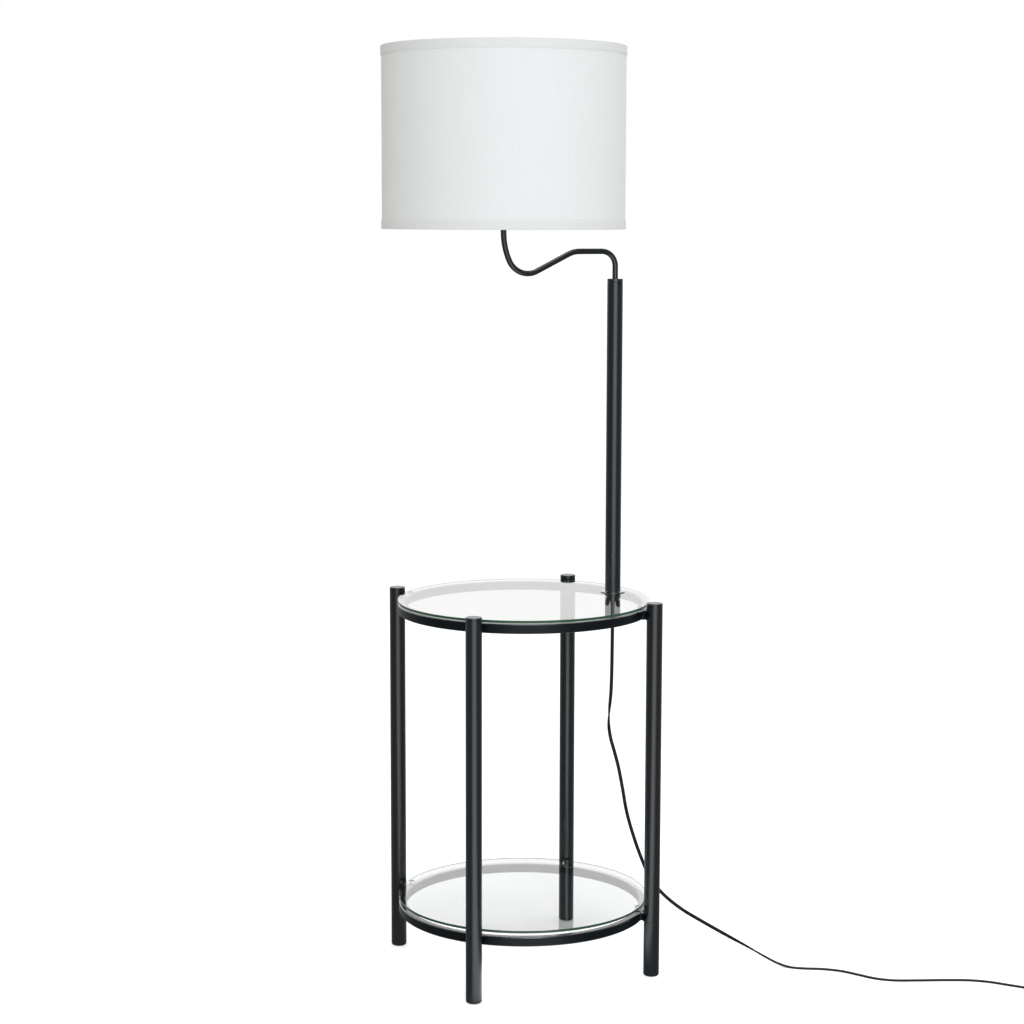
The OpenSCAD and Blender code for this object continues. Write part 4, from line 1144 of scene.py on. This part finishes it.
@dataclass
class BentArm:
    """The arm tube: a chain of straights and bends in one upright plane."""

    wardrobe: Wardrobe
    foot_z: float = 1080.4
    bearing: float = 205.0
    wall: float = 1.0
    chain: tuple[Triple, ...] = (
        (54.6, 0, 0),
        (0, 24, -90),
        (41, 0, 0),
        (0, 45, -25.5),
        (61.67, 0, 0),
        (0, 36, 90.5),
        (0, 105, 25),
        (23, 0, 0),
    )

    def middle_line(self) -> np.ndarray:
        """Points of the arm's middle line, (reach, height) in its own plane.

        A link of the chain is (length, bend radius, turn). A straight adds its length times the
        heading; a bend of radius r adds the chord of each small turn, whose points are
        r (sin, 1 - cos) of the angle turned, laid along the heading.
        """
        place, heading = np.zeros(2), math.pi / 2
        lines = [place[None]]
        for length, radius, turn in self.chain:
            forward = np.array([math.cos(heading), math.sin(heading)])
            if length:
                steps = np.linspace(0, length, max(3, int(length / 6)))[1:, None] * forward
            else:
                a = np.linspace(0, math.radians(abs(turn)), max(6, int(abs(turn) / 3)))[1:, None]
                side = math.copysign(1, turn) * np.array([-forward[1], forward[0]])
                steps = radius * (np.sin(a) * forward + (1 - np.cos(a)) * side)
                heading += math.radians(turn)
            lines.append(place + steps)
            place = lines[-1][-1]
        return np.concatenate(lines)

    def build(self) -> None:
        """Makes the arm, with its wall turned in at both open ends."""
        reach, height = self.middle_line().T
        c, s = polar(1.0, self.bearing)
        foot = np.array([*LAYOUT.pole_at, self.foot_z])
        path = foot + np.column_stack([reach * c, reach * s, height])
        way = unit(np.gradient(path, axis=0))
        way[0] = way[-1] = [0, 0, 1]
        side = np.tile([-s, c, 0.0], (len(path), 1))
        outline = LAYOUT.arm_r * circle(32)
        outer = swept(path, side, np.cross(way, side), outline)
        inner = swept(path, side, np.cross(way, side), outline * (1 - self.wall / LAYOUT.arm_r))
        skin = lofted(np.concatenate([outer, inner[::-1]]), False, True)
        self.wardrobe.make("bent_arm_tube", skin, "arm", body=Body.ARM, sharp=50)


# ---------------------------------------------------------------- the bulb and the shade


@dataclass
class Bulb:
    """A frosted bulb with its screw base."""

    wardrobe: Wardrobe
    low: float = 1238.02
    base_h: float = 26.0
    base_r: float = 13.1
    thread_z: Pair = (5.2, 3.5)
    thread_in: float = 0.3
    thread_half: float = 0.28
    pitch: float = 3.6
    collar: Triple = (0.5, 2.2, 1.4)
    contact: tuple[Pair, ...] = (
        (0, 0),
        (4.4, 0.05),
        (4.7, 0.9),
        (5.6, 1.0),
        (9.5, 3.0),
        (11.8, 4.3),
    )
    height: float = 108.0
    ball_r: float = 30.0
    ball_start: float = -38.0
    neck_in: float = 0.5
    neck_power: float = 1.4

    def build(self) -> None:
        """Makes the base, with its rolled thread, and the globe.

        The thread is a cosine wave of its pitch along the side. The globe is a ball on a neck
        whose radius grows as a power of its height.
        """
        r, h, ball_r = self.base_r, self.base_h, self.ball_r
        z = np.linspace(self.thread_z[0], h - self.thread_z[1], 80)
        wave = r - self.thread_in + self.thread_half * np.cos(TAU * z / self.pitch)
        step, start, end = self.collar
        rim = [(r - step, h - start), (r, h - end), (r, h), (0, h)]
        base = np.concatenate([self.contact, np.column_stack([wave, z]), rim])
        a = np.linspace(math.radians(self.ball_start), math.pi / 2, 40)
        ball = np.column_stack([ball_r * np.cos(a), self.height - ball_r + ball_r * np.sin(a)])
        t = np.linspace(0, 1, 14)[:-1]
        neck_r = r + self.neck_in
        grown = neck_r + (ball[0, 0] - neck_r) * t**self.neck_power
        neck = np.column_stack([grown, h + (ball[0, 1] - h) * t])
        globe = np.concatenate([[[0, h + 0.02]], neck, ball])
        for name, outline, turns, slot, node in (
            ("bulb_screw_base", base, 72, Slot.STEEL, "bulb_base"),
            ("frosted_bulb_globe", globe, 96, Slot.BULB, "bulb_globe"),
        ):
            skin = revolved(outline + [0, self.low], LAYOUT.shade_at, turns, closed=False)
            self.wardrobe.make(name, skin, node, slot=slot, body=Body.ARM, sharp=60)


@dataclass
class DrumShade:
    """The drum of laminated linen with its folded hem tapes."""

    wardrobe: Wardrobe
    radius: float = 191.3
    low: float = 1194.72
    height: float = 282.3
    hem_w: float = 15.0
    hem_t: float = 1.0
    hem_inside: float = 9.0
    hoop_room: float = 4.5
    tape_t: float = 0.9
    tape_slope: Pair = (0.75, 2.5)
    cloth_t: float = 0.9
    cloth_back: float = 0.1
    rim_gap: float = 1.05
    fullness: float = 0.2
    wander: float = 0.6
    lap: float = 12.0
    lap_bearing: float = 118.0
    lap_ramp: float = 0.05
    lap_out: float = 0.55
    lap_in: float = 0.45
    shown_t: float = 0.6

    def cloth(self) -> None:
        """The cloth: one sheet rolled into a drum, whose ends lap at the back.

        The point at angle a wanders by 0.12 sin(3 a + 1) + 0.08 sin(7 a), times a share, so that
        the drum is as true as a hand-rolled one. The outer end of the sheet lies over the inner
        end, a cloth's thickness further out.
        """
        r = self.radius - self.cloth_t / 2 - self.cloth_back
        lap = self.lap / self.radius
        a = np.linspace(0, TAU + lap, 361) + math.radians(self.lap_bearing)
        z = np.linspace(self.low + self.rim_gap, self.low + self.height - self.rim_gap, 25)
        turned = a - a[0]
        ramp = self.lap_ramp
        rise = self.lap_out * self.cloth_t * smooth((turned - TAU + ramp) / ramp)
        drop = self.lap_in * self.cloth_t * (1 - smooth(turned / ramp))
        wander = 0.12 * np.sin(3 * a + 1) + 0.08 * np.sin(7 * a)
        radius = r + self.fullness + wander * self.wander + rise - drop
        x, y = (c + radius * way for c, way in zip(LAYOUT.shade_at, (np.cos(a), np.sin(a))))
        level = np.ones((len(z), 1))
        grid = np.stack([x * level, y * level, z[:, None] + 0 * a], axis=2)
        skin = Surface.from_grid(grid, turned * self.radius, z - z[0], False, False)
        piece = self.wardrobe.make(
            "linen_drum", skin, "shade_fabric", slot=Slot.LINEN, body=Body.ARM, sharp=60
        )
        wall = piece.modifiers.new("cloth", "SOLIDIFY")
        wall.thickness = self.cloth_t / 1000 * self.shown_t
        wall.offset = 0.0

    def tape(self, name: str, node: str, top: bool) -> Thing:
        """One tape folded over a rim, from the outside over the edge to the inside."""
        out, t, (lean, ease) = self.radius + self.hem_t, self.tape_t, self.tape_slope
        inside = self.radius - self.hoop_room - self.hem_t
        corners = [
            (out - t, self.hem_w, 0.05),
            (out - lean * t, self.hem_w, 0.1),
            (out, self.hem_w - ease, 1.5),
            (out, 0, 1.0),
            (inside, 0, 1.0),
            (inside, self.hem_inside, 0.3),
            (inside + t, self.hem_inside, 0.2),
            (inside + t, t, 0.2),
            (out - t, t, 0.2),
        ]
        r, z = filleted(corners, 5, closed=True).T
        z = self.low + self.height - z if top else self.low + z
        skin = revolved(np.column_stack([r, z]), LAYOUT.shade_at, 256)
        return self.wardrobe.make(name, skin, node, slot=Slot.TAPE, body=Body.ARM, sharp=50)

    def build(self) -> None:
        """Makes the tapes, then the cloth that they bind."""
        self.top_tape = self.tape("top_hem_tape", "shade_top_hem", True)
        self.low_tape = self.tape("low_hem_tape", "shade_bottom_hem", False)
        self.cloth()


# ---------------------------------------------------------------- the cord and its plug


@dataclass
class MainsCord:
    """The flat two-core cord: its free run, and the coil that is put away beside the lamp.

    The route is given by its points in the air, then by those on the floor.
    """

    wardrobe: Wardrobe
    width: float = 5.8
    thick: float = 3.0
    web_angle: float = 122.0
    lie_z: float = 1.55
    twist: Pair = (440.0, 350.0)
    lie_down_z: float = 60.0
    heading: float = -27.0
    coil_r: float = 35.0
    pitch: float = 7.4
    waist: float = 0.03
    climb: float = 4.2
    turns_in: float = 1.5
    turns_back: float = 0.5
    turns_out: float = 1.25
    tail: float = 36.0
    plug_z: float = 6.5
    hanging: tuple[Triple, ...] = (
        (146.8218, 68.4642, 562.5), (146.8218, 68.4642, 546.5), (146.6, 68.5, 508),
        (146.2, 68.6, 470), (145.2, 69, 435), (142.8, 70, 405), (142, 70.2, 380),
        (145, 69, 358), (152, 66.5, 333),
        (158.5, 64, 308), (165, 61.5, 275), (172, 59, 236), (182, 55.5, 200), (195, 50.5, 163),
        (211, 44.5, 127), (232, 36.5, 101.5), (262, 26, 79), (298, 12.5, 60.5), (334, -1, 43.5),
        (370, -14.5, 27), (398, -25, 13.5), (419, -33, 5),
    )  # fmt: skip
    lying: tuple[Pair, ...] = (
        (438, -40.5), (460, -46), (488, -48.5), (517, -58), (544, -77), (568, -94), (597, -102.5),
        (634, -102), (675, -100), (715, -100.5), (746, -108), (774, -122), (801, -136),
        (818, -144.7), (830, -150.8),
    )  # fmt: skip

    @property
    def turns(self) -> float:
        """All the turns of the coil."""
        return self.turns_in + self.turns_back + self.turns_out

    @property
    def end_heading(self) -> float:
        """The way that the cord leaves its coil."""
        return self.heading + 360 * self.turns

    def run(self) -> np.ndarray:
        """The free run: the smooth curve through the route's points."""
        on_floor = [(x, y, self.lie_z) for x, y in self.lying]
        return curve_through(np.array([*self.hanging, *on_floor]), 6)

    def coil(self) -> np.ndarray:
        """The coil: radius and height as functions of the turns run.

        The radius falls by one pitch a turn until the middle m of the turning-back half turn,
        then grows again: R - p m + p sqrt((t - m)^2 + w^2), with the waist w. In that half turn
        the cord climbs one layer, with an even start and end. The tail runs straight on, rising
        to the plug.
        """
        count = math.ceil(self.turns * 36)
        t = np.arange(1, count + 1) / count * self.turns
        middle = self.turns_in + self.turns_back / 2
        radius = self.coil_r - self.pitch * middle + self.pitch * np.hypot(t - middle, self.waist)
        height = self.climb * smooth((t - self.turns_in) / self.turns_back)
        h = math.radians(self.heading)
        start = np.array([*self.lying[-1], self.lie_z])
        centre = start + self.coil_r * np.array([-math.sin(h), math.cos(h), 0])
        angle = h - math.pi / 2 + TAU * t
        loops = centre + np.column_stack([radius * np.cos(angle), radius * np.sin(angle), height])
        way, up = np.array([*polar(1.0, self.end_heading), 0.0]), np.array([0, 0, 1])
        u = np.linspace(0, 1, 9)[1:, None]
        rise = self.plug_z - loops[-1, 2]
        out = loops[-1] + way * (self.tail - self.width) * u + up * rise * smooth(u)
        end = loops[-1] + way * self.tail + up * rise
        lead = start + self.width * np.array([*polar(1.0, self.heading), 0.0])
        return np.concatenate([[lead], loops, out, [end]])

    def flat_side(self, path: np.ndarray) -> np.ndarray:
        """Which way the flat face looks: to the front as the cord hangs, then half a turn about
        the vertical between the two twist heights, and up where it lies on the floor."""
        z = path[:, 2]
        a = math.pi * smooth((self.twist[0] - z) / (self.twist[0] - self.twist[1]))
        hang = np.column_stack([np.sin(a), -np.cos(a), 0 * a])
        w = smooth((self.lie_down_z - z) / (self.lie_down_z - self.lie_z))
        lay = unit(np.column_stack([0 * w, 1 - w, w]) + 1e-12)
        return np.where((z > self.lie_down_z)[:, None], hang, lay)

    def outline(self) -> np.ndarray:
        """Two round cores side by side with a groove between them, flattened to the cord's size.

        At angle a the point is (cos a, sin a) on a circle about each core, joined where the two
        circles come within the web's thickness.
        """
        core = self.thick / 2
        web = math.radians(self.web_angle)
        a = np.linspace(-web, web, 13)
        right = np.column_stack([self.width / 2 - core + core * np.cos(a), core * np.sin(a)])
        return np.concatenate([right, -right])

    def build(self, plug: Thing) -> None:
        """Args:
            plug: the plug's moulded body; not used.
        """
        run = self.run()
        path = np.concatenate([run, self.coil()])
        way = unit(np.gradient(path, axis=0))
        way[0] = [0, 0, -1]
        way[-1] = [*polar(1.0, self.end_heading), 0.0]
        looks = self.flat_side(path)
        looks[len(run) :] = [0, 0, 1]
        through = unit(looks - (looks * way).sum(axis=1, keepdims=True) * way)
        skin = lofted(swept(path, np.cross(through, way), through, self.outline()))
        nodes = "cord_run", "cord_coil"
        cord = self.wardrobe.make("flat_mains_cord", skin, *nodes, slot=Slot.SHEATH, sharp=70)
        length = along(path)[-1] / 1000


@dataclass
class Plug:
    """The moulded plug body, narrow at the cord and broad at the blades.

    The half sizes and the squareness are given at shares of its length.
    """

    wardrobe: Wardrobe
    place: np.ndarray
    heading: float
    length: float = 30.0
    half_widths: tuple[tuple[float, ...], ...] = (
        (0, 0.2, 0.42, 0.62, 0.85, 1),
        (3.9, 4.6, 8.6, 11.1, 12.4, 12.4),
    )
    half_thicks: tuple[tuple[float, ...], ...] = (
        (0, 0.2, 0.45, 0.8, 1),
        (3.0, 4.0, 6.1, 6.4, 6.4),
    )
    powers: tuple[tuple[float, ...], ...] = ((0, 0.4, 1), (2.0, 2.6, 4.0))
    rib_span: Pair = (0.3, 0.75)
    rib_pitch: float = 2.4
    rib_h: float = 0.35
    rib_fade: float = 0.05
    end_round: Pair = (1.2, 1.3)
    end_least: float = 0.3

    def build(self) -> Thing:
        """Makes the body as stations along its length.

        Each station is a superellipse |y / w|^n + |z / t|^n = 1. Its half width and half
        thickness follow smooth curves along the body, and shallow grip ribs ride on the waist.

        Returns:
            The piece.
        """
        long = self.length
        x = np.array([0.0, 0.05, *np.linspace(0.4, long - 0.8, 56), long - 0.3, long - 0.05, long])
        share = x / long
        kernel = np.hanning(9) / np.hanning(9).sum()
        half_w, half_t = (
            np.convolve(np.pad(np.interp(share, *sizes), 4, mode="edge"), kernel, mode="valid")
            for sizes in (self.half_widths, self.half_thicks)
        )
        low, high = self.rib_span
        waist = smooth((share - low) / self.rib_fade) * smooth((high - share) / self.rib_fade)
        ribs = self.rib_h * np.clip(np.sin(TAU * x / self.rib_pitch), 0, 1) * waist
        into, over = self.end_round
        rim = np.sqrt(np.clip(1 - ((x - long + into) / over).clip(0, 1) ** 2, self.end_least, 1))
        half_w, half_t = (half_w - ribs) * rim, half_t * rim
        n = 2 / np.interp(share, *self.powers)[:, None]
        a = round_angles(64)[None]
        y = half_w[:, None] * signed_power(np.cos(a), n)
        z = half_t[:, None] * signed_power(np.sin(a), n)
        rings = np.stack([np.broadcast_to(x[:, None], y.shape), y, z], axis=2)
        skin = lofted(rings).moved(self.heading, tuple(self.place))
        name = "moulded_plug_body"
        return self.wardrobe.make(name, skin, "plug_body", slot=Slot.PLASTIC, sharp=50)


# ---------------------------------------------------------------- the camera and the studio


@dataclass
class PhotoCamera:
    """The camera, solved from the photograph: place, lens and turns."""

    place: Triple = (0.0, -3.62115, 1.21955)
    focal_px: float = 2273.8
    picture_px: float = 1024
    sensor: float = 36.0
    yaw: float = -0.2952
    pitch: float = 7.488
    roll: float = 0.1064

    def build(self) -> None:
        """Makes the scene's camera.

        It looks along (sin yaw cos pitch, cos yaw cos pitch, -sin pitch), and its right and up
        are turned by the roll.
        """
        yaw, pitch, roll = (math.radians(v) for v in (self.yaw, self.pitch, self.roll))
        cos_pitch, sin_pitch = math.cos(pitch), math.sin(pitch)
        forward = Vector((math.sin(yaw) * cos_pitch, math.cos(yaw) * cos_pitch, -sin_pitch))
        level = Vector((math.cos(yaw), -math.sin(yaw), 0))
        upright = Vector((math.sin(yaw) * sin_pitch, math.cos(yaw) * sin_pitch, cos_pitch))
        right = level * math.cos(roll) + upright * math.sin(roll)
        up = upright * math.cos(roll) - level * math.sin(roll)
        turn = Matrix((right, up, -forward)).transposed()
        data = bpy.data.cameras.new("photo_camera")
        data.sensor_width = self.sensor
        data.lens = self.focal_px / self.picture_px * self.sensor
        camera = bpy.data.objects.new("photo_camera", data)
        camera.matrix_world = Matrix.Translation(self.place) @ turn.to_4x4()
        bpy.context.scene.collection.objects.link(camera)
        bpy.context.scene.camera = camera


@dataclass(frozen=True)
class Softbox:
    """A soft rectangular lamp: its place and aim in metres, its width and height, its watts."""

    name: str
    place: Triple
    aim: Triple
    size: Pair
    power: float
    colour: Triple = (0.95, 1.0, 1.08)

    def build(self) -> None:
        """Makes the lamp."""
        data = bpy.data.lights.new(self.name, "AREA")
        data.shape, data.energy, data.color = "RECTANGLE", self.power, self.colour
        data.size, data.size_y = self.size
        lamp = bpy.data.objects.new(self.name, data)
        lamp.location = self.place
        way = Vector(self.aim) - Vector(self.place)
        lamp.rotation_euler = way.to_track_quat("-Z", "Y").to_euler()
        bpy.context.scene.collection.objects.link(lamp)


@dataclass
class Studio:
    """A white studio: pale floor, soft lamps, and a world that is white where it is seen."""

    ambient: float = 0.64
    backdrop_gloss: float = 1.05
    floor_gloss: float = 0.5
    backdrop_rise: float = 1.25
    backdrop_span: Pair = (0.0, 0.8)
    dim_gloss: float = 0.26
    panel_gloss: float = 2.5
    panel_bearing: float = 277.0
    panel_span: Pair = (0.84, 0.99)
    stand_at: float = 3.6
    stand_span: Pair = (0.05, 0.6)
    stand_dip: float = 0.35
    floor_colour: float = 0.86
    floor_top_up: float = 0.52
    floor_half: float = 80.0
    ambient_colour: Triple = (0.985, 1.0, 0.955)
    lamps: tuple[Softbox, ...] = (
        Softbox("key_softbox", (0.75, -3.4, 2.2), (0, 0, 0.9), (1.3, 1.6), 52),
        Softbox("top_softbox", (0.2, 0.4, 3.6), (0, 0, 0.8), (2.2, 2.2), 30),
    )

    @staticmethod
    def mirror_ray(tree: Tree, path: Node) -> Socket:
        """One for a reflected ray alone: a ray refracted by clear glass counts as glossy too."""
        clear = calc(tree, "SUBTRACT", 1.0, path.outputs["Is Transmission Ray"])
        return calc(tree, "MULTIPLY", path.outputs["Is Glossy Ray"], clear)

    def reflected(self, tree: Tree, place: Socket, behind: float) -> Socket:
        """What the polished surfaces see in a direction or at a place on the floor.

        Behind the lamp it is the bright backdrop, a little brighter higher up. At the sides it is
        dim, and in front it is the white panel at the camera: a wedge whose edge is soft, by the
        dot product of the level direction with the panel's. On the floor the panel's light dips
        where the camera's stand is.

        Args:
            tree: the floor's or the world's nodes.
            place: the direction or place, from the lamp's axis.
            behind: the brightness behind the lamp, at the floor's level.

        Returns:
            The brightness.
        """
        level = vector(tree, "MULTIPLY", place, (1, 1, 0)).outputs[0]
        way = vector(tree, "NORMALIZE", level).outputs[0]
        aim = (*polar(1.0, self.panel_bearing), 0.0)
        facing = vector(tree, "DOT_PRODUCT", way, aim).outputs["Value"]
        backward = add(tree, "ShaderNodeSeparateXYZ", {0: way}).outputs["Y"]
        height = add(tree, "ShaderNodeSeparateXYZ", {0: place}).outputs["Z"]
        risen = calc(tree, "MULTIPLY", calc(tree, "MAXIMUM", height, 0.0), self.backdrop_rise)
        bright = calc(tree, "ADD", risen, behind - self.dim_gloss)
        back = calc(tree, "MULTIPLY", soft_step(tree, backward, *self.backdrop_span), bright)
        away = vector(tree, "LENGTH", level).outputs["Value"]
        apart = calc(tree, "ABSOLUTE", calc(tree, "SUBTRACT", away, self.stand_at))
        share = soft_step(tree, facing, *self.panel_span)
        panel = calc(tree, "MULTIPLY", share, self.panel_gloss - self.dim_gloss)
        gap = soft_step(tree, apart, *self.stand_span, self.stand_dip)
        front = calc(tree, "MULTIPLY", panel, gap)
        return calc(tree, "ADD", calc(tree, "ADD", back, front), self.dim_gloss)

    def world(self) -> None:
        """The world: white to the camera, the panel and backdrop to polished surfaces, and a
        plain soft light for the rest."""
        world = bpy.data.worlds.new("white_studio")
        world.use_nodes = True
        bpy.context.scene.world = world
        tree = world.node_tree
        path = add(tree, "ShaderNodeLightPath")
        rays = path.outputs
        ways = add(tree, "ShaderNodeTexCoord").outputs["Generated"]
        seen = calc(tree, "MAXIMUM", rays["Is Camera Ray"], rays["Is Transmission Ray"])
        inputs = {
            "Factor": self.mirror_ray(tree, path),
            2: calc(tree, "MAXIMUM", seen, self.ambient),
            3: self.reflected(tree, ways, self.backdrop_gloss),
        }
        strength = add(tree, "ShaderNodeMix", inputs, data_type="FLOAT").outputs[0]
        colours = {6: (1, 1, 1, 1), 7: (*self.ambient_colour, 1)}
        inputs = {"Factor": rays["Is Diffuse Ray"], **colours}
        tint = add(tree, "ShaderNodeMix", inputs, data_type="RGBA").outputs[2]
        wire(tree, tree.nodes["Background"], {"Strength": strength, "Color": tint})

    def floor(self) -> None:
        """The floor: pale, and for the camera topped up to white where no shadow lies.

        Polished surfaces see it as they see the world.
        """
        half = self.floor_half
        corners = [(-half, -half, 0), (half, -half, 0), (half, half, 0), (-half, half, 0)]
        mesh = bpy.data.meshes.new("studio_floor")
        mesh.from_pydata(corners, [], [(0, 1, 2, 3)])
        floor = bpy.data.objects.new("studio_floor", mesh)
        bpy.context.scene.collection.objects.link(floor)
        mat = bpy.data.materials.new("pale_floor")
        mat.use_nodes = True
        tree = mat.node_tree
        path = add(tree, "ShaderNodeLightPath")
        place = add(tree, "ShaderNodeTexCoord").outputs["Object"]
        glossy = self.mirror_ray(tree, path)
        plain = calc(tree, "SUBTRACT", 1.0, glossy)
        lit = calc(tree, "MULTIPLY", path.outputs["Is Camera Ray"], self.floor_top_up)
        mirrored = calc(tree, "MULTIPLY", glossy, self.reflected(tree, place, self.floor_gloss))
        inputs = {
            "Roughness": 0.9,
            "Specular IOR Level": 0.1,
            "Base Color": calc(tree, "MULTIPLY", self.floor_colour, plain),
            "Emission Color": calc(tree, "ADD", lit, mirrored),
            "Emission Strength": 1.0,
        }
        wire(tree, tree.nodes["Principled BSDF"], inputs)
        mesh.materials.append(mat)

    def build(self) -> None:
        """Makes the floor, the world and the lamps."""
        bpy.context.scene.view_settings.view_transform = "Standard"
        self.world()
        self.floor()
        for lamp in self.lamps:
            lamp.build()


# ---------------------------------------------------------------- everything


class Lamp:
    """The whole lamp: its sub-assemblies, and the finishes of the solids that stay as they are."""

    def __init__(self, frame: dict[str, object]) -> None:
        """Takes the frame and builds the finishes.
        """
        self.nodes: dict[str, Thing] = frame["nodes"]
        self.slots = {s["node"]: Slot(s["material_slot"]) for s in frame["record"]["subparts"]}
        self.wardrobe = Wardrobe()

    def build(self) -> None:
        """Makes the cord first, then the table, the pole, the arm and the shade.

        Every solid gets its slot's finish, so none is left plain.
        """
        cord = MainsCord(self.wardrobe)
        plug = Plug(self.wardrobe, cord.coil()[-1], cord.end_heading).build()
        cord.build(plug)
        for kind in (Legs, Rings, GlassTiers, Pole, Hardware, BentArm, Bulb, DrumShade):
            kind(self.wardrobe).build()
        for node, solid in self.nodes.items():
            self.wardrobe.dress_solid(solid, self.slots[node])


def main() -> None:
    """Loads the frame, builds the camera, the lamp and the studio."""
    logging.basicConfig(level=logging.INFO, format="%(message)s")
    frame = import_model()
    PhotoCamera().build()
    Lamp(frame).build()
    Studio().build()


if __name__ == "__main__":
    main()
